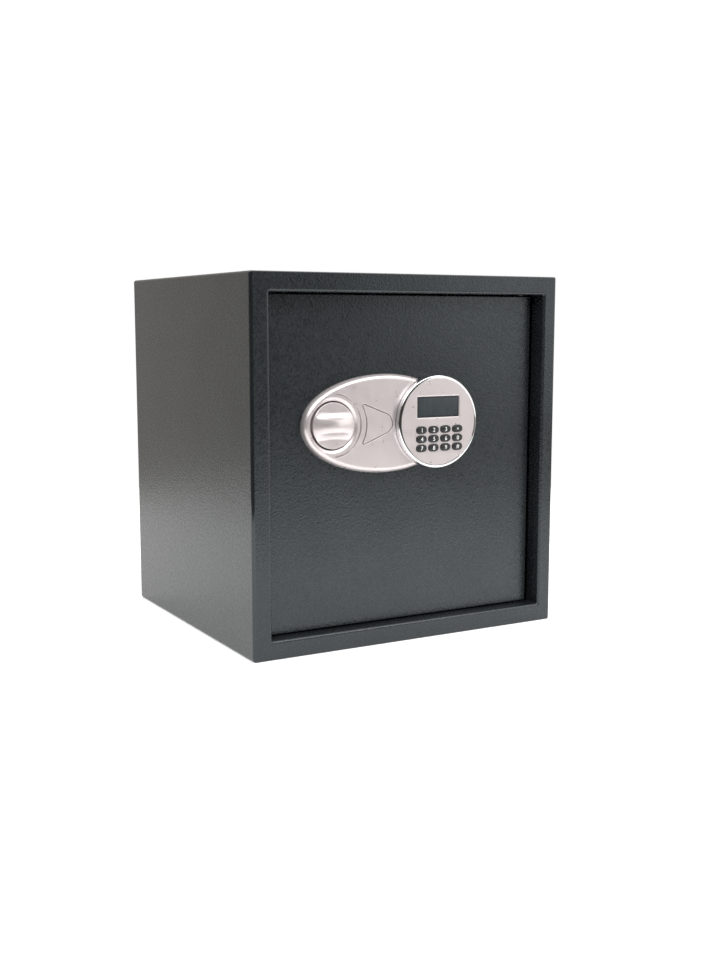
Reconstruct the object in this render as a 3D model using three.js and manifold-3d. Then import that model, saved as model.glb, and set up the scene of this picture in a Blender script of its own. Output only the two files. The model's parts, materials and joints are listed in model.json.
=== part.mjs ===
// An electronic home safe: a folded steel cabinet, a recessed door on two hinge pins, a knob that
// throws two bolts, a round keypad beside it, and the lock works inside the door.
// Millimetres, +Z up. The origin is on the floor under the middle of the cabinet; the door faces -Y.
import * as THREE from "three";
import { mergeVertices } from "three/addons/utils/BufferGeometryUtils.js";
import Module from "manifold-3d";

const wasm = await Module();
wasm.setup();

// ---- Driving dimensions -------------------------------------------------------------------------

const WIDTH = 384;
const DEPTH = 345;
const HEIGHT = 400;
const SHEET = 2; // wall of the cabinet
const BEND = 3; // outside radius of a folded edge
const GAP = 0.3; // between pieces that touch
const FRONT = -DEPTH / 2;
const BACK = DEPTH / 2;

// Opening in the front frame, and how far the door sits behind it.
const OPENING = { left: -WIDTH / 2 + 21.5, right: WIDTH / 2 - 18, bottom: 20.5, top: HEIGHT - 20.5 };
const RECESS = 18;
const LIP_DEPTH = 22.3;

const DOOR = { left: -169, right: 169, bottom: 22, top: 378, thickness: 4 };
const DOOR_FACE = FRONT + RECESS;
const DOOR_BACK = DOOR_FACE + DOOR.thickness;
const HINGE = { x: 160, y: -146, pinRadius: 3, clearance: 0.3 };

// Control panel on the door: an oval fascia with a round keypad over its wide end.
const PANEL_BASE = DOOR_FACE - GAP;
const FASCIA = { x: -28, z: 240.6, left: 100.3, right: 91, high: 53.4, face: DOOR_FACE - 9, wall: 3 };
const FASCIA_EDGE = 3; // roundover of the rim
const KNOB = { x: -93.5, z: 241, radius: 24.7, hole: 25.6, flat: FASCIA.face - 0.4, dome: 7 };
const KNOB_BACK = FASCIA.face + 6;
const GRIP = { waist: 6.6, end: 9.8, rim: 0.6 }; // half widths in the middle and at the ends
const SPINDLE_RADIUS = 4;
const KEYPAD = { x: 33.6, z: 240.7, radius: 50.6, face: DOOR_FACE - 16.3, bezel: 2.6, drop: 1, ledge: 1.5 };
const KEYPAD_PLATE = 1.7;
const BOARD = { radius: 43.5, front: KEYPAD.face + 8.5, thickness: 1.6 };
const WINDOW = { x: 33.5, z: 257.2, width: 54.2, height: 23.2, sunk: 0.8, thickness: 3 };
const KEY = { width: 12.9, height: 7.8, pitchX: 15.6, pitchZ: 9.9, proud: 1.6, flange: 0.75 };
const KEY_ROUNDNESS = 2.8;
const KEY_ROWS = [
  ["1", "2", "3", "star"],
  ["4", "5", "6", "0"],
  ["7", "8", "9", "hash"],
];
const KEY_FIRST = { x: 11.5, z: 232.3 };

// Override lock behind the three-cornered cover.
const LOCK = { x: -42, z: 241, radius: 8, flange: 9.5, plug: 5, back: -130, face: PANEL_BASE - 2.7 };
const KEYWAY = { half: 0.6, reach: 3.5, depth: 8 };
const LOCK_TAIL = { half: 4, low: 20, high: 4, thickness: 2 };
const COVER = { arc: 40.2, corner: 2, spread: 0.49, nose: 11.6, noseX: -32, thickness: 2, fit: 0.6 };
const COVER_LEG = { x: LOCK.x - 10, away: 14, half: [1, 1.5], length: 6 };

// Boltwork on the back of the door.
const BOLT = { radius: 9, y: -139.5, tip: -167, tail: -129.8, rows: [171, 311], chamfer: 1.5, fit: 0.4 };
const CRANK = { radius: 12, pin: 2.5, slotHalf: 3.2, length: 10 };
const CARRIAGE = { bar: -129.5, width: 3, margin: 3, armEnd: -65, armLow: 225, armHigh: 261, armY: -141 };
const GUIDE = { x: -150, thickness: 3, back: -124, margin: 4 };
const CAM = { radius: 16, front: -149.5, thickness: 3 };
const SOLENOID = { x: -70, y: BOLT.y, low: 272, high: 302.5, plate: 1.5, half: 9, coil: 8.2 };
const PLUNGER = { radius: 3, tip: 266, top: 305, collar: 5, collarHeight: 1, fit: 0.4 };
const SPRING = { wire: 0.35, turns: 3 };

// Lead from the keypad board through the door to the solenoid.
const LEAD = {
  radius: 1.5,
  hole: { x: 28, z: 262, radius: 6 },
  bends: [
    [20, -139, 268],
    [0, -136, 278],
    [-30, -136, 286],
  ],
  end: 287,
};

// Box that covers the lock works, and what it carries.
const CASE = { left: -151.8, right: 70, bottom: 152, top: 330, back: -103, wall: 1.5, front: -150.2 };
const TRAY = { left: -20, right: 38, bottom: 172, top: 240, front: -122, back: -105, wall: 1.5 };
const BATTERY_WINDOW = 4; // margin inside the tray's rim
const LID = { margin: 2, thickness: 1.5, ribs: 3, ribPitch: 3, ribWidth: 1.2, ribInset: 20, ribPlace: 5 };
const CELL = { radius: 7.25, body: 49, nub: 2.7, nubLength: 1.3, count: 4 };
const RESET = { x: 56, z: 300, radius: 3.5, flange: 5.5, fit: 0.5 };
const SCREW = { head: 4, headHeight: 2.4, shank: 1.8, tab: 8, reach: 12, columns: [-130, 50], slotHalf: 0.5 };

// Inside of the cabinet.
const BRACKET = { half: 18, leg: 3, front: 12, back: 21, gap: 0.5 };
const PIN_BLOCK = { half: 8, back: 6, length: 26, inset: 2, reach: 10 };
const SHELF = { z: 198, front: -88, back: 165, half: 186, lip: 10 };
const RAIL = { drop: 12, reach: 12, sheet: 1.5, front: -84, back: 160, clear: 6 };
const MAT = { half: 186, front: -122, back: 168, thickness: 2.5 };
const ANCHOR = { x: 90, y: 30, z: 110, hole: 6, shank: 5.7, stem: 0.5, flange: 9, flangeHeight: 1.2 };

// ---- Materials ----------------------------------------------------------------------------------

function finish(color, roughness, metalness) {
  return new THREE.MeshStandardMaterial({ color, roughness, metalness });
}
const POWDER = finish(0x3f4447, 0.55, 0.2);
const STEEL = finish(0xa9abad, 0.35, 0.9);
const ZINC = finish(0xc4c2b8, 0.4, 0.9);
const SILVER = finish(0xd6cfcd, 0.35, 0.7);
const CHROME = finish(0xe8e8ea, 0.08, 1);
const BLACK = finish(0x17181a, 0.45, 0);
const SCREEN = finish(0x42484c, 0.15, 0);
const BRASS = finish(0xb08d4a, 0.35, 0.9);
const COPPER = finish(0xa8613a, 0.4, 0.8);
const CIRCUIT = finish(0x1f5a3a, 0.5, 0);
const RUBBER = finish(0x1c1c1c, 0.85, 0);
const CARPET = finish(0x2b2d30, 0.95, 0);
const RED = finish(0xb3261e, 0.45, 0);

// ---- Shape helpers ------------------------------------------------------------------------------

function toSolid(geometry) {
  const bare = geometry.clone();
  bare.deleteAttribute("normal");
  bare.deleteAttribute("uv");
  const merged = mergeVertices(bare, 1e-4);
  const vertProperties = merged.getAttribute("position").array;
  const triVerts = new Uint32Array(merged.getIndex().array);
  return new wasm.Manifold(new wasm.Mesh({ numProp: 3, vertProperties, triVerts }));
}

function toGeometry(solid) {
  const mesh = solid.getMesh();
  const positions = new THREE.BufferAttribute(new Float32Array(mesh.vertProperties), mesh.numProp);
  const geometry = new THREE.BufferGeometry().setAttribute("position", positions);
  geometry.setIndex(new THREE.BufferAttribute(new Uint32Array(mesh.triVerts), 1));
  geometry.computeVertexNormals();
  return geometry;
}

function joined(first, ...others) {
  return toGeometry(others.reduce((sum, other) => sum.add(toSolid(other)), toSolid(first)));
}

function cut(first, ...tools) {
  return toGeometry(tools.reduce((rest, tool) => rest.subtract(toSolid(tool)), toSolid(first)));
}

function common(first, second) {
  return toGeometry(toSolid(first).intersect(toSolid(second)));
}

// Box from its lowest corner to its highest.
function box(low, high) {
  const size = high.map((value, i) => value - low[i]);
  const middle = high.map((value, i) => (value + low[i]) / 2);
  return new THREE.BoxGeometry(...size).translate(...middle);
}

// Round bar along X, Y or Z. Its centre is given by the two other coordinates, in X, Y, Z order.
function rod(axis, radius, [a, b], from, to, segments = 24) {
  const bar = new THREE.CylinderGeometry(radius, radius, to - from, segments);
  const middle = (from + to) / 2;
  if (axis === "x") return bar.rotateZ(Math.PI / 2).translate(middle, a, b);
  if (axis === "y") return bar.translate(a, middle, b);
  return bar.rotateX(Math.PI / 2).translate(a, b, middle);
}

// Outline drawn in X and Z, made solid between two depths.
function slab(outline, front, back, options = {}) {
  const settings = { depth: back - front, bevelEnabled: false, curveSegments: 12, ...options };
  return new THREE.ExtrudeGeometry(outline, settings).rotateX(Math.PI / 2).translate(0, back, 0);
}

// Outline turned about a line along Y through x, z; each point is a radius and a depth.
function turned(points, x, z, segments = 48) {
  const profile = points.map(([radius, y]) => new THREE.Vector2(radius, y));
  return new THREE.LatheGeometry(profile, segments).translate(x, 0, z);
}

function roundedRectangle(Kind, left, right, bottom, top, radius) {
  const outline = new Kind();
  outline.moveTo(left + radius, bottom);
  outline.absarc(right - radius, bottom + radius, radius, -Math.PI / 2, 0, false);
  outline.absarc(right - radius, top - radius, radius, 0, Math.PI / 2, false);
  outline.absarc(left + radius, top - radius, radius, Math.PI / 2, Math.PI, false);
  outline.absarc(left + radius, bottom + radius, radius, Math.PI, 1.5 * Math.PI, false);
  return outline;
}

// Rounded rectangle between circle-like and square corners, by the superellipse formula.
function barrelOutline(x, z, width, height, count = 16) {
  const points = [];
  for (let i = 0; i < count; i++) {
    const angle = (2 * Math.PI * (i + 0.5)) / count;
    const reach = (value) => Math.sign(value) * Math.abs(value) ** (2 / KEY_ROUNDNESS);
    const across = reach(Math.cos(angle)) * (width / 2);
    const up = reach(Math.sin(angle)) * (height / 2);
    points.push(new THREE.Vector2(x + across, z + up));
  }
  return new THREE.Shape(points);
}

const safe = new THREE.Group();

function piece(name, geometry, material) {
  const mesh = new THREE.Mesh(geometry, material);
  mesh.name = name;
  safe.add(mesh);
}

// ---- Cabinet ------------------------------------------------------------------------------------

// Sheet folded round into the floor, sides and roof, with two anchor holes in the floor.
function bodyShell() {
  const half = WIDTH / 2;
  const outline = roundedRectangle(THREE.Shape, -half, half, 0, HEIGHT, BEND);
  const inner = [-half + SHEET, half - SHEET, SHEET, HEIGHT - SHEET];
  outline.holes.push(roundedRectangle(THREE.Path, ...inner, BEND - SHEET));
  const wrap = slab(outline, FRONT + SHEET + GAP, BACK, { curveSegments: 4 });
  const holes = [-ANCHOR.x, ANCHOR.x].map((x) => rod("z", ANCHOR.hole, [x, ANCHOR.y], -1, 2 * SHEET));
  return cut(wrap, ...holes);
}

// Face of the cabinet, folded back round the opening into a lip that the bolts catch behind.
function frontFrame() {
  const half = WIDTH / 2;
  const { left, right, bottom, top } = OPENING;
  const face = roundedRectangle(THREE.Shape, -half, half, 0, HEIGHT, BEND);
  face.holes.push(roundedRectangle(THREE.Path, left, right, bottom, top, 1));
  const wide = [left - SHEET, right + SHEET, bottom - SHEET, top + SHEET];
  const lip = roundedRectangle(THREE.Shape, ...wide, BEND);
  lip.holes.push(roundedRectangle(THREE.Path, left, right, bottom, top, 1));
  const curves = { curveSegments: 4 };
  return joined(slab(face, FRONT, FRONT + SHEET, curves), slab(lip, FRONT, FRONT + LIP_DEPTH, curves));
}

function backPanel() {
  const half = WIDTH / 2 - SHEET - GAP;
  const panel = box([-half, BACK - SHEET, SHEET + GAP], [half, BACK, HEIGHT - SHEET - GAP]);
  const bore = (x) => rod("y", ANCHOR.hole, [x, ANCHOR.z], BACK - 2 * SHEET, BACK + 1);
  return cut(panel, bore(-ANCHOR.x), bore(ANCHOR.x));
}

// Angle bracket, 36 mm long, that holds one hinge pin: a bored leg level with the door's end and a
// leg up or down to the cabinet. `side` is 1 at the roof and -1 at the floor.
function hingeBracket(side) {
  const { half, leg, gap } = BRACKET;
  const left = HINGE.x - half;
  const right = HINGE.x + half;
  const reach = [HINGE.y - BRACKET.front, HINGE.y + BRACKET.back];
  const bored = side > 0 ? OPENING.top + SHEET + gap : OPENING.bottom - SHEET - gap - leg;
  const wall = side > 0 ? HEIGHT - SHEET - GAP : SHEET + GAP;
  const flat = box([left, reach[0], bored], [right, reach[1], bored + leg]);
  const low = Math.min(bored, wall);
  const high = Math.max(bored + leg, wall);
  const upright = box([left, reach[1] - leg, low], [right, reach[1], high]);
  const bore = rod("z", HINGE.pinRadius + HINGE.clearance, [HINGE.x, HINGE.y], bored - 1, bored + leg + 1);
  return cut(joined(flat, upright), bore);
}

function shelf() {
  const top = [SHELF.half, SHELF.back, SHELF.z + SHEET];
  const sheet = box([-SHELF.half, SHELF.front, SHELF.z], top);
  const lipTop = [SHELF.half - RAIL.reach - RAIL.clear, SHELF.front + SHEET, SHELF.z + SHEET];
  return joined(sheet, box([-lipTop[0], SHELF.front, SHELF.z - SHELF.lip], lipTop));
}

// Angle under one edge of the shelf. `side` is 1 on the right and -1 on the left.
function shelfRail(side) {
  const wall = WIDTH / 2 - SHEET - GAP;
  const top = SHELF.z - GAP;
  const level = box([wall - RAIL.reach, RAIL.front, top - RAIL.sheet], [wall, RAIL.back, top]);
  const upright = box([wall - RAIL.sheet, RAIL.front, top - RAIL.drop], [wall, RAIL.back, top]);
  const rail = joined(level, upright);
  return side > 0 ? rail : rail.rotateZ(Math.PI).translate(0, RAIL.front + RAIL.back, 0);
}

function floorMat() {
  const low = [-MAT.half, MAT.front, SHEET + GAP];
  const sheet = box(low, [MAT.half, MAT.back, SHEET + GAP + MAT.thickness]);
  const holes = [-ANCHOR.x, ANCHOR.x].map((x) => rod("z", ANCHOR.flange + 1, [x, ANCHOR.y], 0, 10));
  return cut(sheet, ...holes);
}

// Rubber plug that closes one anchor hole from inside.
function anchorPlug(axis, centre, shank, flange) {
  const stem = rod(axis, ANCHOR.shank, centre, ...shank, 16);
  return joined(stem, rod(axis, ANCHOR.flange, centre, ...flange, 16));
}

function buildCabinet() {
  piece("body_shell", bodyShell(), POWDER);
  piece("front_frame", frontFrame(), POWDER);
  piece("back_panel", backPanel(), POWDER);
  piece("hinge_bracket_top", hingeBracket(1), STEEL);
  piece("hinge_bracket_bottom", hingeBracket(-1), STEEL);
  piece("shelf", shelf(), POWDER);
  piece("shelf_rail_left", shelfRail(-1), POWDER);
  piece("shelf_rail_right", shelfRail(1), POWDER);
  piece("floor_mat", floorMat(), CARPET);
  const floor = SHEET + GAP;
  const floorPlug = [[GAP, floor + ANCHOR.stem], [floor, floor + ANCHOR.flangeHeight]];
  const wall = BACK - SHEET - GAP;
  const backPlug = [[wall - ANCHOR.stem, BACK - GAP], [wall - ANCHOR.flangeHeight, wall]];
  piece("floor_plug_left", anchorPlug("z", [-ANCHOR.x, ANCHOR.y], ...floorPlug), RUBBER);
  piece("floor_plug_right", anchorPlug("z", [ANCHOR.x, ANCHOR.y], ...floorPlug), RUBBER);
  piece("back_plug_left", anchorPlug("y", [-ANCHOR.x, ANCHOR.z], ...backPlug), RUBBER);
  piece("back_plug_right", anchorPlug("y", [ANCHOR.x, ANCHOR.z], ...backPlug), RUBBER);
}

// ---- Door ---------------------------------------------------------------------------------------

const screwPlaces = SCREW.columns.flatMap((x) => [
  [x, CASE.bottom - SCREW.reach / 2],
  [x, CASE.top + SCREW.reach / 2],
]);

function doorPlate() {
  const low = [DOOR.left, DOOR_FACE, DOOR.bottom];
  const plate = box(low, [DOOR.right, DOOR_BACK, DOOR.top]);
  const through = (radius, x, z) => rod("y", radius, [x, z], DOOR_FACE - 1, DOOR_BACK + 1);
  const tapped = (x, z) => rod("y", SCREW.shank + GAP, [x, z], DOOR_BACK - 3, DOOR_BACK + 1, 12);
  const tools = [
    through(SPINDLE_RADIUS + 0.8, KNOB.x, KNOB.z),
    through(LOCK.radius + 0.5, LOCK.x, LOCK.z),
    through(LEAD.hole.radius, LEAD.hole.x, LEAD.hole.z),
    ...screwPlaces.map(([x, z]) => tapped(x, z)),
  ];
  return cut(plate, ...tools);
}

// Hinge pin on the block that is welded behind the door plate. `side` is 1 at the top.
function hingePin(side) {
  const { half, back, length, inset, reach } = PIN_BLOCK;
  const end = side > 0 ? DOOR.top - inset : DOOR.bottom + inset;
  const [low, high] = side > 0 ? [end - length, end] : [end, end + length];
  const base = box([HINGE.x - half, DOOR_BACK + GAP, low], [HINGE.x + half, HINGE.y + back, high]);
  const span = side > 0 ? [end - 1, end + reach] : [end - reach, end + 1];
  return joined(base, rod("z", HINGE.pinRadius, [HINGE.x, HINGE.y], ...span));
}

// Closed outline of the fascia, drawn in by `inset` all round.
function fasciaOutline(inset) {
  const outline = new THREE.Shape();
  const high = FASCIA.high - inset;
  outline.absellipse(FASCIA.x, FASCIA.z, FASCIA.right - inset, high, -Math.PI / 2, Math.PI / 2);
  outline.absellipse(FASCIA.x, FASCIA.z, FASCIA.left - inset, high, Math.PI / 2, 1.5 * Math.PI);
  return outline;
}

// Outline of the key cover: two small corners and a round nose, its left side concentric with the knob.
function coverOutline(inset) {
  const away = COVER.arc + COVER.corner;
  const cornerX = KNOB.x + away * Math.cos(COVER.spread);
  const cornerZ = away * Math.sin(COVER.spread);
  const run = COVER.noseX - cornerX;
  const length = Math.hypot(run, cornerZ);
  const touch = Math.acos((COVER.corner - COVER.nose) / length) - Math.atan2(cornerZ, run);
  const corner = COVER.corner - inset;
  const opposite = Math.PI + COVER.spread;
  const outline = new THREE.Shape();
  outline.absarc(cornerX, KNOB.z + cornerZ, corner, touch, opposite, false);
  outline.absarc(KNOB.x, KNOB.z, COVER.arc + inset, COVER.spread, -COVER.spread, true);
  outline.absarc(cornerX, KNOB.z - cornerZ, corner, -opposite, -touch, false);
  outline.absarc(COVER.noseX, KNOB.z, COVER.nose - inset, -touch, touch, false);
  return outline;
}

// Hollow oval moulding with a rounded rim, cut away for the knob, the key cover and the keypad.
function fascia() {
  const rim = {
    bevelEnabled: true,
    bevelSize: FASCIA_EDGE,
    bevelThickness: FASCIA_EDGE,
    bevelOffset: -FASCIA_EDGE,
    bevelSegments: 3,
    curveSegments: 18,
  };
  const outside = slab(fasciaOutline(0), FASCIA.face + FASCIA_EDGE, PANEL_BASE + FASCIA_EDGE, rim);
  const behind = box([-200, PANEL_BASE, 0], [200, 0, HEIGHT]);
  const fine = { curveSegments: 18 };
  const hollow = slab(fasciaOutline(FASCIA.wall), FASCIA.face + FASCIA.wall, 0, fine);
  const knobHole = rod("y", KNOB.hole, [KNOB.x, KNOB.z], FRONT, 0, 48);
  const coverHole = slab(coverOutline(0), FRONT, 0, { curveSegments: 6 });
  const keypadSeat = rod("y", KEYPAD.radius + GAP, [KEYPAD.x, KEYPAD.z], FRONT, 0, 48);
  return cut(outside, behind, hollow, knobHole, coverHole, keypadSeat);
}

function keypadHousing() {
  const outer = KEYPAD.radius;
  const seat = outer - KEYPAD.bezel - GAP;
  const wall = seat - KEYPAD.ledge;
  const under = KEYPAD.face + KEYPAD_PLATE + GAP;
  const profile = [
    [outer, PANEL_BASE],
    [wall, PANEL_BASE],
    [wall, under],
    [seat, under],
    [seat, KEYPAD.face],
    [outer - KEYPAD.bezel, KEYPAD.face],
    [outer, KEYPAD.face + KEYPAD.drop],
    [outer, PANEL_BASE],
  ];
  return turned(profile, KEYPAD.x, KEYPAD.z);
}

// Every key with its name and the place of its centre.
function keyPlaces() {
  return KEY_ROWS.flatMap((row, down) =>
    row.map((name, across) => ({
      name,
      x: KEY_FIRST.x + across * KEY.pitchX,
      z: KEY_FIRST.z - down * KEY.pitchZ,
    })),
  );
}

function keypadFace() {
  const radius = KEYPAD.radius - KEYPAD.bezel - 2 * GAP;
  const outline = new THREE.Shape();
  outline.absarc(KEYPAD.x, KEYPAD.z, radius, 0, 2 * Math.PI, false);
  const left = WINDOW.x - WINDOW.width / 2;
  const bottom = WINDOW.z - WINDOW.height / 2;
  const corners = [
    [left, bottom],
    [left + WINDOW.width, bottom],
    [left + WINDOW.width, bottom + WINDOW.height],
    [left, bottom + WINDOW.height],
  ];
  outline.holes.push(new THREE.Path(corners.map((corner) => new THREE.Vector2(...corner))));
  for (const { x, z } of keyPlaces()) {
    outline.holes.push(barrelOutline(x, z, KEY.width + 2 * GAP, KEY.height + 2 * GAP));
  }
  return slab(outline, KEYPAD.face, KEYPAD.face + KEYPAD_PLATE, { curveSegments: 24 });
}

function displayWindow() {
  const half = [WINDOW.width / 2 - GAP, WINDOW.height / 2 - GAP];
  const front = KEYPAD.face + WINDOW.sunk;
  const low = [WINDOW.x - half[0], front, WINDOW.z - half[1]];
  return box(low, [WINDOW.x + half[0], front + WINDOW.thickness, WINDOW.z + half[1]]);
}

function keypadBoard() {
  const { radius, front, thickness } = BOARD;
  return rod("y", radius, [KEYPAD.x, KEYPAD.z], front, front + thickness, 40);
}

function wiringLead() {
  const { hole, bends, end } = LEAD;
  const route = [
    [hole.x, BOARD.front + BOARD.thickness + GAP, hole.z],
    [hole.x, DOOR_BACK + 2, hole.z],
    ...bends,
    [SOLENOID.x + SOLENOID.coil + GAP, SOLENOID.y, end],
  ];
  const path = new THREE.CatmullRomCurve3(route.map((point) => new THREE.Vector3(...point)));
  const section = new THREE.Shape();
  section.absarc(0, 0, LEAD.radius, 0, 2 * Math.PI, false);
  const settings = { steps: 22, extrudePath: path, bevelEnabled: false, curveSegments: 4 };
  return new THREE.ExtrudeGeometry(section, settings);
}

// Plate with a close hole for each bolt, just inside the case's left wall.
function boltGuide() {
  const { x, thickness, back, margin } = GUIDE;
  const low = [x, DOOR_BACK + GAP, CASE.bottom + margin];
  const plate = box(low, [x + thickness, back, CASE.top - margin]);
  const bore = (z) => rod("x", BOLT.radius + BOLT.fit, [BOLT.y, z], x - 1, x + thickness + 1, 32);
  return cut(plate, ...BOLT.rows.map(bore));
}

// Open-fronted box with screw tabs, notched for the bolts, with a window onto the batteries.
function mechanismCover() {
  const { left, right, bottom, top, back, wall, front } = CASE;
  const outside = box([left, front, bottom], [right, back, top]);
  const inner = [right - wall, back - wall, top - wall];
  const inside = box([left + wall, front - 1, bottom + wall], inner);
  const tabs = screwPlaces.map(([x, z]) => {
    const half = SCREW.reach / 2;
    return box([x - SCREW.tab, front, z - half - 0.5], [x + SCREW.tab, front + wall, z + half + 0.5]);
  });
  const shell = cut(joined(outside, ...tabs), inside);
  const notches = BOLT.rows.flatMap((z) => {
    const radius = BOLT.radius + 1;
    const slot = box([left - 1, front - 1, z - radius], [left + wall + 1, BOLT.y, z + radius]);
    return [rod("x", radius, [BOLT.y, z], left - 1, left + wall + 1, 32), slot];
  });
  const margin = BATTERY_WINDOW;
  const windowLow = [TRAY.left + margin, back - 2 * wall, TRAY.bottom + margin];
  const batteryWindow = box(windowLow, [TRAY.right - margin, back + 1, TRAY.top - margin]);
  const resetHole = rod("y", RESET.radius + RESET.fit, [RESET.x, RESET.z], back - 2 * wall, back + 1, 16);
  const bores = screwPlaces.map(([x, z]) => rod("y", SCREW.shank + GAP, [x, z], front - 1, front + 3, 12));
  return cut(shell, ...notches, batteryWindow, resetHole, ...bores);
}

function coverScrew(x, z) {
  const seat = CASE.front + CASE.wall + GAP;
  const head = rod("y", SCREW.head, [x, z], seat, seat + SCREW.headHeight, 16);
  const shank = rod("y", SCREW.shank, [x, z], DOOR_BACK - 2.5, seat + 1, 12);
  const half = SCREW.slotHalf;
  const end = seat + SCREW.headHeight;
  const slot = box([x - half, end - 1, z - 5], [x + half, end + 1, z + 5]);
  return cut(joined(head, shank), slot);
}

function batteryTray() {
  const { left, right, bottom, top, front, back, wall } = TRAY;
  const outside = box([left, front, bottom], [right, back, top]);
  const low = [left + wall, front + wall, bottom + wall];
  return cut(outside, box(low, [right - wall, back + 1, top - wall]));
}

// One AA cell lying along X; every second one is turned end for end.
function batteryCell(index) {
  const { radius, body, nub, nubLength, count } = CELL;
  const profile = [
    [0, 0],
    [radius, 0],
    [radius, body],
    [nub, body],
    [nub, body + nubLength],
    [0, body + nubLength],
  ];
  const cell = turned(profile, 0, 0, 20).translate(0, -(body + nubLength) / 2, 0);
  cell.rotateZ(index % 2 ? Math.PI / 2 : -Math.PI / 2);
  const pitch = (TRAY.top - TRAY.bottom - 2 * TRAY.wall) / count;
  const z = TRAY.bottom + TRAY.wall + pitch * (index + 0.5);
  return cell.translate((TRAY.left + TRAY.right) / 2, TRAY.front + TRAY.wall + GAP + radius, z);
}

function solenoidFrame() {
  const { x, y, low, high, plate, half } = SOLENOID;
  const front = DOOR_BACK + 0.5;
  const spine = box([x - half, front, low], [x + half, front + plate, high]);
  const floor = box([x - half, front, low], [x + half, y + half - 0.5, low + plate]);
  const roof = box([x - half, front, high - plate], [x + half, y + half - 0.5, high]);
  const bore = rod("z", PLUNGER.radius + PLUNGER.fit, [x, y], low - 1, high + 1, 16);
  return cut(joined(spine, floor, roof), bore);
}

function solenoidCoil() {
  const { x, y, low, high, plate, coil } = SOLENOID;
  const winding = rod("z", coil, [x, y], low + plate + GAP, high - plate - GAP, 24);
  return cut(winding, rod("z", PLUNGER.radius + PLUNGER.fit, [x, y], low, high, 16));
}

function overrideLockBody() {
  const { x, z, radius, flange, plug, back, face } = LOCK;
  const body = joined(rod("y", flange, [x, z], face, PANEL_BASE), rod("y", radius, [x, z], face, back));
  return cut(body, rod("y", plug + GAP, [x, z], face - 1, back + 1));
}

function buildDoor() {
  piece("door_plate", doorPlate(), POWDER);
  piece("hinge_pin_top", hingePin(1), STEEL);
  piece("hinge_pin_bottom", hingePin(-1), STEEL);
  piece("fascia", fascia(), SILVER);
  piece("keypad_housing", keypadHousing(), CHROME);
  piece("keypad_face", keypadFace(), SILVER);
  piece("display_window", displayWindow(), SCREEN);
  piece("keypad_board", keypadBoard(), CIRCUIT);
  piece("wiring_lead", wiringLead(), BLACK);
  piece("bolt_guide", boltGuide(), ZINC);
  piece("mechanism_cover", mechanismCover(), POWDER);
  screwPlaces.forEach(([x, z], i) => piece(`cover_screw_${i + 1}`, coverScrew(x, z), ZINC));
  piece("battery_tray", batteryTray(), BLACK);
  for (let i = 0; i < CELL.count; i++) {
    piece(`battery_${i + 1}`, batteryCell(i), BRASS);
  }
  piece("solenoid_frame", solenoidFrame(), ZINC);
  piece("solenoid_coil", solenoidCoil(), COPPER);
  piece("override_lock_body", overrideLockBody(), BRASS);
}

// ---- Pieces that move on the door ---------------------------------------------------------------

// Disc with a waisted grip across it that rises to a shallow dome.
function knob() {
  const { x, z, radius, flat, dome } = KNOB;
  const disc = rod("y", radius, [x, z], flat, KNOB_BACK, 48);
  const { waist, end: endHalf, rim } = GRIP;
  const end = { x: Math.sqrt(radius ** 2 - endHalf ** 2), z: endHalf };
  const grip = new THREE.Shape();
  grip.moveTo(x - end.x, z - end.z);
  grip.quadraticCurveTo(x, z - 2 * waist + end.z, x + end.x, z - end.z);
  grip.lineTo(x + end.x, z + end.z);
  grip.quadraticCurveTo(x, z + 2 * waist - end.z, x - end.x, z + end.z);
  const cap = [];
  const rings = 6;
  for (let i = 0; i <= rings; i++) {
    const share = i / rings;
    cap.push([radius * share, flat - rim - (dome - rim) * (1 - share ** 2)]);
  }
  cap.push([radius, flat + 1], [0, flat + 1]);
  const swell = turned(cap, x, z);
  return joined(disc, common(slab(grip, FRONT, flat + 1), swell));
}

function knobSpindle() {
  return rod("y", SPINDLE_RADIUS, [KNOB.x, KNOB.z], KNOB_BACK + GAP, CAM.front - GAP);
}

// Disc on the spindle's end with the crank pin that drives the bolts, drawn at 45 degrees.
function driveCam() {
  const { radius, front, thickness } = CAM;
  const disc = rod("y", radius, [KNOB.x, KNOB.z], front, front + thickness, 32);
  const offset = CRANK.radius * Math.SQRT1_2;
  const centre = [KNOB.x + offset, KNOB.z + offset];
  return joined(disc, rod("y", CRANK.pin, centre, front + 1, front + thickness + CRANK.length, 20));
}

// Upright bar that carries both bolts, and an arm with the upright slot for the crank pin.
function boltCarriage() {
  const { bar, width, margin, armEnd, armLow, armHigh, armY } = CARRIAGE;
  const reach = BOLT.radius;
  const [lower, upper] = BOLT.rows;
  const barHigh = [bar + width, BOLT.y + reach, upper + reach + margin];
  const upright = box([bar, BOLT.y - reach, lower - reach - margin], barHigh);
  const arm = box([bar + 1, armY, armLow], [armEnd, armY + width, armHigh]);
  const offset = CRANK.radius * Math.SQRT1_2;
  const slotX = KNOB.x + offset;
  const play = CRANK.pin + 1;
  const slotLow = [slotX - CRANK.slotHalf, armY - 1, KNOB.z + offset - play];
  const slot = box(slotLow, [slotX + CRANK.slotHalf, armY + 4, KNOB.z + CRANK.radius + play]);
  return cut(joined(upright, arm), slot);
}

// Round bolt with a chamfered nose, lying along X.
function bolt(z) {
  const { radius, tip, tail, chamfer } = BOLT;
  const profile = [
    [0, tip],
    [radius - chamfer, tip],
    [radius, tip + chamfer],
    [radius, tail],
    [0, tail],
  ];
  return turned(profile, 0, 0, 32).rotateZ(-Math.PI / 2).translate(0, BOLT.y, z);
}

function solenoidPlunger() {
  const centre = [SOLENOID.x, SOLENOID.y];
  const { radius, tip, top, collar, collarHeight } = PLUNGER;
  const stem = rod("z", radius, centre, tip, top, 20);
  return joined(stem, rod("z", collar, centre, tip, tip + collarHeight, 20));
}

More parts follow.
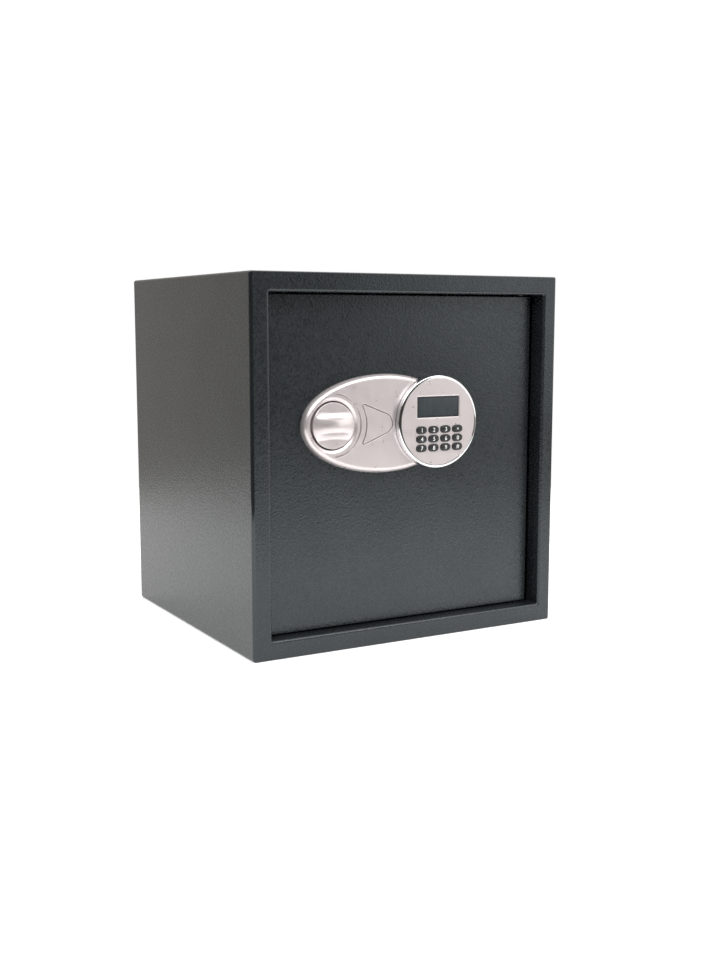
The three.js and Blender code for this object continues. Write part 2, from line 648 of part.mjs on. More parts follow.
class Helix extends THREE.Curve {
  constructor(radius, low, high, turns) {
    super();
    Object.assign(this, { radius, low, high, turns });
  }

  getPoint(t, target = new THREE.Vector3()) {
    const angle = 2 * Math.PI * this.turns * t;
    const z = this.low + (this.high - this.low) * t;
    return target.set(this.radius * Math.cos(angle), this.radius * Math.sin(angle), z);
  }
}

// Return spring between the plunger's collar and the solenoid frame, shown pressed short.
function plungerSpring() {
  const { wire, turns } = SPRING;
  const low = PLUNGER.tip + PLUNGER.collarHeight + GAP + wire;
  const path = new Helix(PLUNGER.radius + 1, low, SOLENOID.low - GAP - wire, turns);
  const section = new THREE.Shape();
  section.absarc(0, 0, wire, 0, 2 * Math.PI, false);
  const settings = { steps: turns * 10, extrudePath: path, bevelEnabled: false, curveSegments: 3 };
  return new THREE.ExtrudeGeometry(section, settings).translate(SOLENOID.x, SOLENOID.y, 0);
}

// Key barrel with a slot in its face and a tail cam behind the lock body.
function overridePlug() {
  const { x, z, plug, back } = LOCK;
  const face = LOCK.face - 0.5;
  const tailFront = back + 3;
  const tailBack = tailFront + LOCK_TAIL.thickness;
  const barrel = rod("y", plug, [x, z], face, tailBack + 1);
  const tailEnd = [x + LOCK_TAIL.half, tailBack, z + LOCK_TAIL.high];
  const tail = box([x - LOCK_TAIL.half, tailFront, z - LOCK_TAIL.low], tailEnd);
  const { half, reach, depth } = KEYWAY;
  const slot = box([x - half, face - 1, z - reach], [x + half, face + depth, z + reach]);
  return cut(joined(barrel, tail), slot);
}

function overrideKeyCover() {
  const { x, away, half, length } = COVER_LEG;
  const face = FASCIA.face;
  const cap = slab(coverOutline(COVER.fit), face, face + COVER.thickness, { curveSegments: 6 });
  const leg = (z) => box([x - half[0], face + 1, z - half[1]], [x + half[0], face + length, z + half[1]]);
  return joined(cap, leg(LOCK.z - away), leg(LOCK.z + away));
}

function resetButton() {
  const wallFront = CASE.back - CASE.wall;
  const centre = [RESET.x, RESET.z];
  const stem = rod("y", RESET.radius, centre, wallFront - 1, CASE.back + 2, 20);
  return joined(stem, rod("y", RESET.flange, centre, wallFront - 2, wallFront - GAP, 20));
}

// Lid over the battery window with a finger rib near its left edge.
function batteryCover() {
  const { margin, thickness, ribPitch, ribWidth, ribInset, ribPlace } = LID;
  const front = CASE.back + GAP;
  const back = front + thickness;
  const corner = [TRAY.right + margin, back, TRAY.top + margin];
  const lid = box([TRAY.left - margin, front, TRAY.bottom - margin], corner);
  const ribs = Array.from({ length: LID.ribs }, (_, i) => {
    const x = TRAY.left + ribPlace + ribPitch * i;
    return box([x, back - 0.5, TRAY.bottom + ribInset], [x + ribWidth, back + 1, TRAY.top - ribInset]);
  });
  return joined(lid, ...ribs);
}

// Key cap that stands through the face plate, with a flange behind it.
function keyCap(x, z) {
  const front = KEYPAD.face - KEY.proud;
  const under = KEYPAD.face + KEYPAD_PLATE + GAP;
  const { width, height, flange } = KEY;
  const cap = slab(barrelOutline(x, z, width, height), front, under + 1);
  const rim = slab(barrelOutline(x, z, width + 2 * flange, height + 2 * flange), under, under + 1.2);
  return joined(cap, rim);
}

function buildMovingPieces() {
  piece("knob", knob(), SILVER);
  piece("knob_spindle", knobSpindle(), STEEL);
  piece("drive_cam", driveCam(), ZINC);
  piece("bolt_carriage", boltCarriage(), ZINC);
  piece("lower_bolt", bolt(BOLT.rows[0]), STEEL);
  piece("upper_bolt", bolt(BOLT.rows[1]), STEEL);
  piece("solenoid_plunger", solenoidPlunger(), STEEL);
  piece("plunger_spring", plungerSpring(), STEEL);
  piece("override_plug", overridePlug(), BRASS);
  piece("override_key_cover", overrideKeyCover(), SILVER);
  piece("reset_button", resetButton(), RED);
  piece("battery_cover", batteryCover(), BLACK);
  for (const { name, x, z } of keyPlaces()) {
    piece(`key_${name}`, keyCap(x, z), BLACK);
  }
}

buildCabinet();
buildDoor();
buildMovingPieces();

export default safe;
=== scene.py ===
import json
import math

import bmesh
import bpy
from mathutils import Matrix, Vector
from mathutils.geometry import tessellate_polygon


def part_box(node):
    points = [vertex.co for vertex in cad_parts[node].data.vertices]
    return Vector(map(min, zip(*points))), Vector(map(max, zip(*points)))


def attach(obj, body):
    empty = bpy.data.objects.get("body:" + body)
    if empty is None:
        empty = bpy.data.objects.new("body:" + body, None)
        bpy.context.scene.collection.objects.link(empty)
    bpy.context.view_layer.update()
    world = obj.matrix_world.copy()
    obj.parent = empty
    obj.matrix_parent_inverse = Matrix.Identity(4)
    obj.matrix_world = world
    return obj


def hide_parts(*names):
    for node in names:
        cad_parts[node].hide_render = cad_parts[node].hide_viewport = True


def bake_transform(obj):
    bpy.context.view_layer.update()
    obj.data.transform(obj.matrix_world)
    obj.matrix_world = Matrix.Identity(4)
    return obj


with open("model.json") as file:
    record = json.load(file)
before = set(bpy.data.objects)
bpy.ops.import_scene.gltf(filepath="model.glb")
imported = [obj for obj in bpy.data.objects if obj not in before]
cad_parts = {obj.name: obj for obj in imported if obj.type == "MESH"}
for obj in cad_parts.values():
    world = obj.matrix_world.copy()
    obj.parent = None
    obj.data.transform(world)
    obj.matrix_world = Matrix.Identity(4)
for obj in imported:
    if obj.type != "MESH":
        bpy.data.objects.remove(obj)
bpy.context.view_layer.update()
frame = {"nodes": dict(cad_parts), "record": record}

MM = 0.001
ROUND = 2 * math.pi


# ---- Mesh helpers ----


def mm_box(node):
    """The lowest and highest corners of a CAD node, in millimetres."""
    low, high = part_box(node)
    return low / MM, high / MM


def middle_of(node):
    """The middle of a CAD node's box, in millimetres."""
    low, high = mm_box(node)
    return (low + high) / 2


def linked(name, data):
    """A new object in the scene."""
    thing = bpy.data.objects.new(name, data)
    bpy.context.scene.collection.objects.link(thing)
    return thing


def make_object(name, vertices, faces, smooth_angle=35):
    """A linked mesh object from vertices in millimetres, shaded smooth up to an angle."""
    mesh = bpy.data.meshes.new(name)
    mesh.from_pydata([Vector(v) * MM for v in vertices], [], faces)
    work = bmesh.new()
    work.from_mesh(mesh)
    bmesh.ops.remove_doubles(work, verts=work.verts, dist=1e-7)
    bmesh.ops.recalc_face_normals(work, faces=work.faces)
    finish_mesh(work, mesh, smooth_angle)
    return even_shading(linked(name, mesh))


def applied(thing):
    """The mesh of a piece with its modifiers carried out."""
    bpy.context.view_layer.update()
    return bpy.data.meshes.new_from_object(thing.evaluated_get(bpy.context.evaluated_depsgraph_get()))


STRONG, MEDIUM = 16384, 0  # influence of a face on the shading of its corners
LEVEL = 0.99999  # part of a face's normal along an axis, from which it counts as flat on it


def even_shading(thing):
    """Keeps flat faces flat in the shading, so only the rounded edges between them turn."""
    name = "__mod_weightednormals_faceweight"
    mesh = thing.data
    weight = mesh.attributes.get(name) or mesh.attributes.new(name, "INT", "FACE")
    for face, value in zip(mesh.polygons, weight.data):
        value.value = STRONG if max(map(abs, face.normal)) > LEVEL else MEDIUM
    modifier = thing.modifiers.new("shading", "WEIGHTED_NORMAL")
    modifier.keep_sharp = True
    modifier.use_face_influence = True
    thing.data = applied(thing)
    thing.modifiers.clear()
    return thing


def finish_mesh(work, mesh, smooth_angle):
    """Writes a bmesh back, smooth but for the edges sharper than smooth_angle."""
    for face in work.faces:
        face.smooth = True
    limit = math.radians(smooth_angle)
    for edge in work.edges:
        edge.smooth = len(edge.link_faces) == 2 and edge.calc_face_angle(0) < limit
    work.to_mesh(mesh)
    work.free()


def bridge(faces, first, second, count):
    """Adds quads between two closed loops of count vertices that start at first and second."""
    for i in range(count):
        j = (i + 1) % count
        faces.append((first + i, first + j, second + j, second + i))


def loft(name, loops):
    """A closed skin through closed loops of equal length; the last loop joins the first."""
    count = len(loops[0])
    vertices = [point for loop in loops for point in loop]
    faces = []
    for i in range(len(loops)):
        bridge(faces, i * count, (i + 1) % len(loops) * count, count)
    return make_object(name, vertices, faces)


def lathe(name, profile, centre, axis="y", segments=96):
    """Turns (radius, depth) points about a line along the axis through centre, closed on itself."""
    vertices = []
    for radius, depth in profile:
        for point in circle(centre, radius, segments):
            place = list(point)
            place.insert("xyz".index(axis), depth)
            vertices.append(tuple(place))
    faces = []
    for i in range(len(profile)):
        j = (i + 1) % len(profile)
        if profile[i][0] > 0 or profile[j][0] > 0:
            bridge(faces, i * segments, j * segments, segments)
    return drop_slivers(make_object(name, vertices, faces))


def drop_slivers(thing):
    """Removes the faces that closed up where a profile meets its axis."""
    work = bmesh.new()
    work.from_mesh(thing.data)
    bmesh.ops.dissolve_degenerate(work, dist=1e-7, edges=work.edges)
    work.to_mesh(thing.data)
    work.free()
    return thing


def arc(centre, radius, start, end, steps):
    """Points on a circle, from start to end in radians, both ends included."""
    angles = [start + (end - start) * i / steps for i in range(steps + 1)]
    return [(centre[0] + radius * math.cos(a), centre[1] + radius * math.sin(a)) for a in angles]


def rounded_rectangle(left, right, bottom, top, radius, steps=8):
    """Anticlockwise outline with round corners."""
    radius = max(radius, 0.01)
    quarter = math.pi / 2
    corners = [
        ((right - radius, bottom + radius), -quarter),
        ((right - radius, top - radius), 0),
        ((left + radius, top - radius), quarter),
        ((left + radius, bottom + radius), 2 * quarter),
    ]
    return [p for centre, start in corners for p in arc(centre, radius, start, start + quarter, steps)]


def circle(centre, radius, steps):
    """Anticlockwise points round a centre."""
    return [
        (centre[0] + radius * math.cos(ROUND * i / steps), centre[1] + radius * math.sin(ROUND * i / steps))
        for i in range(steps)
    ]


def edge(front, back, width, depth=None, rear=0.0, steps=5):
    """Profile of a plate's rim from front to back: a rounded edge, a straight wall, a rounded rear edge.

    Each point is (inset, y). inset is how far the outline moves into the plate's material there.
    """
    depth = width if depth is None else depth
    turns = [math.pi / 2 * k / steps for k in range(steps + 1)]
    points = [(width * (1 - math.sin(t)), front + depth * (1 - math.cos(t))) for t in turns]
    if rear:
        points += [(rear * (1 - math.cos(t)), back - rear * (1 - math.sin(t))) for t in turns]
    else:
        points.append((0, back))
    return points


def plate(name, rims, blind=(), smooth_angle=35):
    """A plate across Y, skinned from its rims: its own, then those of its holes.

    Each rim is (outline, profile). outline(inset) gives one closed line moved into the material, and
    profile its (inset, y) points. The rims numbered in blind are pockets, closed at their last line.
    """
    vertices = []
    faces = []
    fronts = []
    backs = []
    for number, (outline, profile) in enumerate(rims):
        start = len(vertices)
        for inset, y in profile:
            vertices.extend((x, y, z) for x, z in outline(inset))
        count = (len(vertices) - start) // len(profile)
        for k in range(len(profile) - 1):
            bridge(faces, start + k * count, start + (k + 1) * count, count)
        fronts.append(range(start, start + count))
        last = range(len(vertices) - count, len(vertices))
        if number in blind:
            fill(vertices, faces, [last])
        else:
            backs.append(last)
    fill(vertices, faces, fronts)
    fill(vertices, faces, backs)
    return make_object(name, vertices, faces, smooth_angle)


def fill(vertices, faces, lines):
    """Closes flat outlines, the first with the others as holes in it."""
    index = [i for line in lines for i in line]
    flat = [[Vector((vertices[i][0], vertices[i][2], 0)) for i in line] for line in lines]
    for triangle in tessellate_polygon(flat):
        faces.append(tuple(index[i] for i in triangle))


def sweep(name, points, radius, sides=10):
    """A round wire along points, closed at both ends, with its rings square to its line."""
    vertices = []
    faces = []
    path = [Vector(p) for p in points]
    normal = None
    for i, point in enumerate(path):
        ahead = path[min(i + 1, len(path) - 1)] - path[max(i - 1, 0)]
        ahead.normalize()
        if normal is None:
            normal = ahead.orthogonal()
        normal = (normal - ahead * normal.dot(ahead)).normalized()
        side = ahead.cross(normal)
        for k in range(sides):
            angle = ROUND * k / sides
            vertices.append(point + (normal * math.cos(angle) + side * math.sin(angle)) * radius)
    for i in range(len(path) - 1):
        bridge(faces, i * sides, (i + 1) * sides, sides)
    faces.append(tuple(range(sides)))
    faces.append(tuple(range((len(path) - 1) * sides, len(path) * sides)))
    return make_object(name, vertices, faces, 60)


def refined(node, width):
    """A copy of a CAD node's solid with its sharp edges rounded over."""
    mesh = frame["nodes"][node].data.copy()
    mesh.materials.clear()
    mesh.name = node + "_finished"
    thing = linked(mesh.name, mesh)
    work = bmesh.new()
    work.from_mesh(mesh)
    bmesh.ops.remove_doubles(work, verts=work.verts, dist=1e-6)
    bmesh.ops.dissolve_limit(work, angle_limit=math.radians(1), verts=work.verts, edges=work.edges)
    work.to_mesh(mesh)
    work.free()
    bevel = thing.modifiers.new("round", "BEVEL")
    bevel.width = width * MM
    bevel.segments = 2
    bevel.limit_method = "ANGLE"
    bevel.angle_limit = math.radians(40)
    mesh = applied(thing)
    thing.modifiers.clear()
    thing.data = mesh
    work = bmesh.new()
    work.from_mesh(mesh)
    finish_mesh(work, mesh, 32)
    return even_shading(thing)


# ---- Materials ----


EDGE_BAND = 3.2  # width of the smooth band of coat on the cabinet's upright front edges
EDGE_FADE = 0.5  # width over which it turns into the pebbled coat
SMOOTH_EDGE = 0.07  # its roughness
PEBBLE = 2.2  # size of the coat's pebbles
PEBBLE_GRAIN = 1.8  # and of the finer grain over them
FLAKE = 0.5  # size of the silver paint's flakes
SCREEN_BORDER = 2.2  # dark border of the display
SCREEN_CLEAR = 1.4  # where the glass is clear of it


class Shader:
    """A principled material whose colour, roughness and surface come from object-space patterns."""

    def __init__(self, name, **sockets):
        self.material = bpy.data.materials.new(name)
        self.material.use_nodes = True
        self.tree = self.material.node_tree
        self.surface = self.tree.nodes["Principled BSDF"]
        for socket, value in sockets.items():
            self.surface.inputs[socket.replace("_", " ")].default_value = value
        self.place = self.node("TexCoord").outputs["Object"]
        self.normal = None

    def node(self, kind, **inputs):
        made = self.tree.nodes.new("ShaderNode" + kind)
        for name, value in inputs.items():
            self.feed(made.inputs[name.replace("_", " ")], value)
        return made

    def feed(self, socket, value):
        if isinstance(value, bpy.types.NodeSocket):
            self.tree.links.new(value, socket)
        else:
            socket.default_value = value

    def noise(self, size, detail=3.0, rough=0.55, stretch=None):
        """Cloudy pattern whose lumps are about size millimetres."""
        place = self.place
        if stretch:
            mapping = self.node("Mapping", Vector=place, Scale=stretch)
            place = mapping.outputs["Vector"]
        made = self.node("TexNoise", Vector=place, Scale=1 / (size * MM), Detail=detail, Roughness=rough)
        return made.outputs["Fac"]

    def cells(self, size, smooth=0.6):
        """Pebbled pattern whose cells are about size millimetres."""
        made = self.tree.nodes.new("ShaderNodeTexVoronoi")
        made.feature = "SMOOTH_F1"
        self.feed(made.inputs["Vector"], self.place)
        made.inputs["Scale"].default_value = 1 / (size * MM)
        made.inputs["Smoothness"].default_value = smooth
        return made.outputs["Distance"]

    def ranged(self, value, low, high, start=0.3, end=0.7):
        made = self.node("MapRange", Value=value, From_Min=start, From_Max=end, To_Min=low, To_Max=high)
        return made.outputs["Result"]

    def blend(self, factor, first, second):
        """Mixes two colours, each a tuple or another node's output."""
        made = self.tree.nodes.new("ShaderNodeMix")
        made.data_type = "RGBA"
        self.feed(made.inputs[0], factor)
        for socket, value in ((made.inputs[6], first), (made.inputs[7], second)):
            self.feed(socket, (*value, 1) if isinstance(value, tuple) else value)
        return made.outputs[2]

    def mixed(self, factor, first, second):
        """Mixes two numbers, each given or another node's output."""
        made = self.node("Mix")
        for socket, value in zip(made.inputs, (factor, None, first, second)):
            if value is not None:
                self.feed(socket, value)
        return made.outputs[0]

    def step(self, operation, value, other=None):
        """One step of arithmetic on a pattern."""
        made = self.node("Math", Value=value)
        made.operation = operation
        if other is not None:
            self.feed(made.inputs[1], other)
        return made.outputs[0]

    def outer_edge(self):
        """One on the upright outer edges of the cabinet's front, where the coat is thin and smooth."""
        low = mm_box("front_frame")[0] * MM
        split = self.node("SeparateXYZ", Vector=self.place)
        reach, depth = -low.x - EDGE_BAND * MM, low.y + EDGE_BAND * MM
        side = self.step("ABSOLUTE", split.outputs[0])
        beside = self.ranged(side, 0, 1, reach, reach + EDGE_FADE * MM)
        before = self.ranged(split.outputs[1], 1, 0, depth, depth + EDGE_FADE * MM)
        return self.step("MULTIPLY", beside, before)

    def colour(self, value):
        self.feed(self.surface.inputs["Base Color"], value)

    def roughness(self, value):
        self.feed(self.surface.inputs["Roughness"], value)

    def bump(self, height, distance, strength=1.0):
        """Raises the surface by a pattern; distance is its depth in millimetres."""
        made = self.node("Bump", Height=height, Distance=distance * MM)
        self.feed(made.inputs["Strength"], strength)
        if self.normal:
            self.feed(made.inputs["Normal"], self.normal)
        self.normal = made.outputs["Normal"]
        self.feed(self.surface.inputs["Normal"], self.normal)


def powder_coat(name, dark, light, roughness=0.27, depth=0.12):
    """Leathery powder coat: pebbles with a finer grain over them, smooth on the cabinet's front edges; the
    raised grain is painted lighter as a highlight, which leaves painted shade in its hollows.
    """
    shader = Shader(name, Specular_IOR_Level=0.62, Specular_Tint=(0.88, 0.96, 1.0, 1))
    cloud = shader.noise(60, 2)
    grain = shader.noise(PEBBLE_GRAIN, 3)
    base = shader.blend(shader.ranged(cloud, 0, 1), dark, light)
    # Painted highlight: the colour turns lighter where the fine grain stands up in the bump, so the grain's
    # hollows carry painted shade.
    grain_peak_highlight = tuple(min(1, c * 1.5) for c in light)
    worn = shader.outer_edge()
    shader.colour(shader.blend(shader.ranged(grain, 0, 0.35, 0.5, 0.75), base, grain_peak_highlight))
    rough = shader.ranged(shader.noise(3.0, 2), roughness - 0.06, roughness + 0.08)
    shader.roughness(shader.mixed(worn, rough, SMOOTH_EDGE))
    strength = shader.mixed(worn, 1.0, 0.0)
    shader.bump(shader.cells(PEBBLE), depth, strength)
    shader.bump(grain, depth * 0.5, strength)
    return shader.material


def satin(name, first, second, roughness, metallic):
    """Silver paint over a moulding: a fine flake and a faint orange peel."""
    shader = Shader(name, Metallic=metallic, Specular_IOR_Level=0.5)
    shader.colour(shader.blend(shader.ranged(shader.noise(FLAKE, 2), 0, 1), first, second))
    shader.roughness(shader.ranged(shader.noise(9, 2), roughness - 0.03, roughness + 0.04))
    shader.bump(shader.noise(FLAKE * 2, 2), 0.002)
    return shader.material


def brushed(name, first, second, roughness, stretch):
    """Metal with fine lines; stretch squeezes the pattern across the lines."""
    shader = Shader(name, Metallic=1.0)
    lines = shader.noise(6, 4, 0.6, stretch)
    shader.colour(shader.blend(shader.ranged(lines, 0, 1), first, second))
    shader.roughness(shader.ranged(lines, roughness - 0.06, roughness + 0.08))
    shader.bump(lines, 0.01)
    return shader.material


def moulded(name, first, second, roughness, lump=14, grain=0.5, depth=0.02, **sockets):
    """Moulded plastic, rubber or board: a slow tint and a fine grain."""
    shader = Shader(name, **sockets)
    shader.colour(shader.blend(shader.ranged(shader.noise(lump, 3), 0, 1), first, second))
    shader.roughness(shader.ranged(shader.noise(lump / 3, 3), roughness - 0.04, roughness + 0.06))
    shader.bump(shader.noise(grain, 3), depth)
    return shader.material


def chrome():
    shader = Shader("chrome_band", Metallic=1.0)
    cloud = shader.ranged(shader.noise(20, 2), 0, 1)
    shader.colour(shader.blend(cloud, (0.72, 0.72, 0.74), (0.80, 0.80, 0.81)))
    shader.roughness(shader.ranged(shader.noise(2.5, 4), 0.05, 0.11))
    shader.bump(shader.noise(5, 2), 0.004)
    return shader.material


def screen():
    """Unlit display: a dark border round a slightly greener glass, with faint columns."""
    low, high = mm_box("display_window")
    shader = Shader("screen", Specular_IOR_Level=0.5, Coat_Weight=0.4, Coat_Roughness=0.06)
    split = shader.node("SeparateXYZ", Vector=shader.place)
    inside = 1.0
    for axis in (0, 2):
        middle, half = (low[axis] + high[axis]) / 2 * MM, (high[axis] - low[axis]) / 2
        away = shader.step("ABSOLUTE", shader.step("SUBTRACT", split.outputs[axis], middle))
        start, end = (half - SCREEN_BORDER) * MM, (half - SCREEN_CLEAR) * MM
        inside = shader.step("MULTIPLY", shader.ranged(away, 1, 0, start, end), inside)
    columns = shader.noise(5, 3, 0.5, (1, 0.2, 0.2))
    glass = shader.blend(shader.ranged(columns, 0, 1), (0.020, 0.026, 0.030), (0.032, 0.040, 0.045))
    shader.colour(shader.blend(inside, (0.012, 0.015, 0.018), glass))
    shader.roughness(shader.ranged(shader.noise(6, 2), 0.16, 0.24))
    return shader.material


def carpet():
    shader = Shader("carpet", Specular_IOR_Level=0.2, Sheen_Weight=0.3)
    fibre = shader.noise(0.9, 5, 0.7)
    shader.colour(shader.blend(shader.ranged(fibre, 0, 1), (0.012, 0.013, 0.015), (0.045, 0.048, 0.052)))
    shader.roughness(shader.ranged(fibre, 0.85, 1.0))
    shader.bump(fibre, 0.5)
    shader.bump(shader.cells(2.4, 0.3), 0.4)
    return shader.material


def winding():
    """Varnished copper wire, laid in turns along Z."""
    shader = Shader("copper_winding", Metallic=1.0)
    wave = shader.node("TexWave", Vector=shader.place, Scale=700.0, Distortion=0.3)
    wave.bands_direction = "Z"
    shader.colour(shader.blend(wave.outputs["Fac"], (0.35, 0.12, 0.05), (0.72, 0.32, 0.16)))
    shader.roughness(shader.ranged(wave.outputs["Fac"], 0.25, 0.4))
    shader.bump(wave.outputs["Fac"], 0.2)
    return shader.material


SLEEVE_BLACK = 0.7  # share of a cell's length that is black
SLEEVE_FADE = 0.2  # width over which the colour changes


def cell_sleeve():
    """Black sleeve with a copper-coloured end, split by place along X."""
    low, high = mm_box("battery_1")
    shader = Shader("battery_sleeve", Metallic=0.4, Coat_Weight=0.3)
    split = shader.node("SeparateXYZ", Vector=shader.place)
    start = (low.x + SLEEVE_BLACK * (high.x - low.x)) * MM
    band = shader.ranged(split.outputs[0], 0, 1, start, start + SLEEVE_FADE * MM)
    shade = shader.blend(shader.ranged(shader.noise(5, 3), 0, 1), (0.012, 0.012, 0.014), (0.03, 0.03, 0.034))
    shader.colour(shader.blend(band, shade, (0.5, 0.25, 0.1)))
    shader.roughness(shader.ranged(shader.noise(7, 2), 0.25, 0.35))
    return shader.material


def make_materials():
    return {
        "powder_coat": powder_coat("powder_coat", (0.008, 0.0095, 0.011), (0.0125, 0.0145, 0.016)),
        "inner_coat": powder_coat("inner_coat", (0.008, 0.009, 0.010), (0.013, 0.014, 0.015), 0.4, 0.15),
        "satin_silver": satin("satin_silver", (0.625, 0.575, 0.575), (0.675, 0.62, 0.62), 0.30, 0.7),
        "chrome_band": chrome(),
        "screen": screen(),
        "key_black": moulded("key_black", (0.007, 0.008, 0.009), (0.014, 0.015, 0.017), 0.32, 4, 0.3, 0.006),
        "bolt_steel": brushed("bolt_steel", (0.52, 0.52, 0.53), (0.72, 0.72, 0.73), 0.25, (30, 1, 1)),
        "plain_steel": brushed("plain_steel", (0.38, 0.38, 0.38), (0.56, 0.56, 0.56), 0.35, (1, 1, 12)),
        "zinc_plate": brushed("zinc_plate", (0.55, 0.55, 0.50), (0.72, 0.72, 0.66), 0.34, (4, 4, 4)),
        "lock_brass": brushed("lock_brass", (0.55, 0.38, 0.14), (0.72, 0.52, 0.22), 0.3, (1, 14, 1)),
        "copper_winding": winding(),
        "circuit_board": moulded("circuit_board", (0.008, 0.07, 0.03), (0.014, 0.11, 0.05), 0.35, 9),
        "battery_sleeve": cell_sleeve(),
        "black_plastic": moulded("black_plastic", (0.010, 0.010, 0.011), (0.020, 0.020, 0.022), 0.5),
        "red_plastic": moulded("red_plastic", (0.42, 0.02, 0.012), (0.55, 0.035, 0.02), 0.35, 3, 0.3),
        "rubber": moulded("rubber", (0.009, 0.009, 0.009), (0.02, 0.02, 0.02), 0.8, 6, 0.7, 0.04),
        "carpet": carpet(),
        "legend": moulded("legend", (0.78, 0.78, 0.77), (0.9, 0.9, 0.89), 0.5, 3, 0.3),
    }


MATERIALS = make_materials()
NODE_BODY = {node: body for body, nodes in frame["record"]["behaviour"]["bodies"].items() for node in nodes}
NODE_SLOT = {part["node"]: part["material_slot"] for part in frame["record"]["subparts"]}


def part_of(thing, node):
    """Gives a piece a CAD node's body and finish."""
    thing.data.materials.clear()
    thing.data.materials.append(MATERIALS[NODE_SLOT[node]])
    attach(thing, NODE_BODY[node])
    return thing


def install(thing, node):
    """Puts a finished piece in the place of a CAD node."""
    part_of(thing, node)
    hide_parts(node)
    return thing


# ---- Cabinet ----

GAP = 0.3  # between pieces that touch
SHEET = 2.0
BEND = 3.0  # outer radius of the folded sheet
FRAME_EDGE = 3.2  # rounding of the frame's outer rim
FRAME_LEVEL = 0.35  # share of it along the top and bottom
FRAME_FOLD = 3.2  # rounding of the fold round the opening

DOOR_LOW, DOOR_HIGH = mm_box("door_plate")
FRAME_LOW, FRAME_HIGH = mm_box("front_frame")
SHELL_LOW, SHELL_HIGH = mm_box("body_shell")
DOOR_FACE = DOOR_LOW.y
DOOR_GAP = 1.5  # round three sides of the door
HINGE_GAP = 5.0  # on the side where it hinges
OPENING = (DOOR_LOW.x - DOOR_GAP, DOOR_HIGH.x + HINGE_GAP, DOOR_LOW.z - DOOR_GAP, DOOR_HIGH.z + DOOR_GAP)
OPENING_CORNER = 1.0
ANCHOR_HOLE = 6.0  # radius
PLUG_DOME = 0.8
PLUG_FLANGE = 1.2  # thickness
BACK_GAP = 0.28  # closed round the back panel


def frame_loop(inset, y, level=1.0):
    """Outline of the cabinet's front, drawn in by inset; level is the share of it above and below."""
    rise = inset * level
    sides = (FRAME_LOW.x + inset, FRAME_HIGH.x - inset, FRAME_LOW.z + rise, FRAME_HIGH.z - rise)
    return [(x, y, z) for x, z in rounded_rectangle(*sides, max(BEND - inset, 0.4))]


def opening_loop(grow, y):
    """Outline of the opening, made larger by grow millimetres."""
    left, right, bottom, top = OPENING
    sides = (left - grow, right + grow, bottom - grow, top + grow)
    return [(x, y, z) for x, z in rounded_rectangle(*sides, OPENING_CORNER + grow)]


def front_frame():
    """Face of the cabinet, rolled round at its rim and folded back into the lip."""
    front, back = FRAME_LOW.y, FRAME_HIGH.y
    loops = []
    for dx, dy in arc((FRAME_EDGE, FRAME_EDGE), FRAME_EDGE, math.pi, 1.5 * math.pi, 6):
        loops.append(frame_loop(dx, front + dy, FRAME_LEVEL))
    for dx, dy in arc((FRAME_FOLD, FRAME_FOLD), FRAME_FOLD, 1.5 * math.pi, math.pi, 8):
        loops.append(opening_loop(dx, front + dy))
    for dx, dy in arc((SHEET / 2, 0), SHEET / 2, math.pi, 0, 4):
        loops.append(opening_loop(dx, back - SHEET / 2 + dy))
    loops.append(opening_loop(SHEET, front + FRAME_EDGE + 1))
    loops.append(opening_loop(SHEET + 1, front + FRAME_EDGE))
    return loft("front_frame_folded", loops)


def cut(thing, tool):
    """Takes a tool's volume out of a piece."""
    modifier = thing.modifiers.new("cut", "BOOLEAN")
    modifier.object = tool
    modifier.solver = "EXACT"
    thing.data = applied(thing)
    thing.modifiers.clear()
    bpy.data.objects.remove(tool)
    return thing


def bored(thing, places, axis, radius, segments=48):
    """Cuts round holes through a piece, each at a place on its axis."""
    reach = 30
    for place in places:
        profile = [(0, -reach), (radius, -reach), (radius, reach), (0, reach)]
        centre = [c for k, c in enumerate(place) if "xyz"[k] != axis]
        middle = place["xyz".index(axis)]
        cut(thing, lathe("drill", [(r, middle + d) for r, d in profile], centre, axis, segments))
    return thing


def body_shell():
    """Sheet folded round into floor, sides and roof; its front edge meets the frame."""
    front = FRAME_LOW.y + FRAME_EDGE + 0.05
    back = SHELL_HIGH.y
    stations = [(0, front), (0, back - 0.6), (0.2, back - 0.2), (0.6, back), (SHEET, back), (SHEET, front)]
    shell = loft("body_shell_folded", [frame_loop(inset, y) for inset, y in stations])
    bottom = SHELL_LOW.z + SHEET / 2
    plugs = [middle_of("floor_plug_left"), middle_of("floor_plug_right")]
    return bored(shell, [(p.x, p.y, bottom) for p in plugs], "z", ANCHOR_HOLE)


def anchor_plug(node):
    """Rubber plug: a domed flange inside and a stem in the hole."""
    low, high = mm_box(node)
    centre = middle_of(node)
    stem, flange = ANCHOR_HOLE - 0.4, (high.x - low.x) / 2
    if node.startswith("floor"):
        place, axis, outside, inside = (centre.x, centre.y), "z", low.z, high.z
    else:
        place, axis, outside, inside = (centre.x, centre.z), "y", high.y, low.y
    toward = math.copysign(1, inside - outside)
    step = inside - PLUG_FLANGE * toward
    profile = [(0, outside), (stem - 0.6, outside), (stem, outside + 0.6 * toward), (stem, step)]
    profile += [(flange, step), (flange, step + 0.3 * toward), (flange - 0.8, inside - 0.2 * toward)]
    profile += [(flange - 2, inside), (3.0, inside), (2.4, inside - PLUG_DOME * toward)]
    profile += [(0, inside - PLUG_DOME * toward)]
    return lathe(node + "_moulded", profile, place, axis, 64)


def back_panel():
    """The panel's solid, stretched to close the gap round it."""
    panel = refined("back_panel", 0.5)
    low, high = mm_box("back_panel")
    middle = middle_of("back_panel") * MM
    stretch = [1 + 2 * BACK_GAP / (high[axis] - low[axis]) for axis in range(3)]
    for vertex in panel.data.vertices:
        for axis in (0, 2):
            vertex.co[axis] = middle[axis] + (vertex.co[axis] - middle[axis]) * stretch[axis]
    return panel


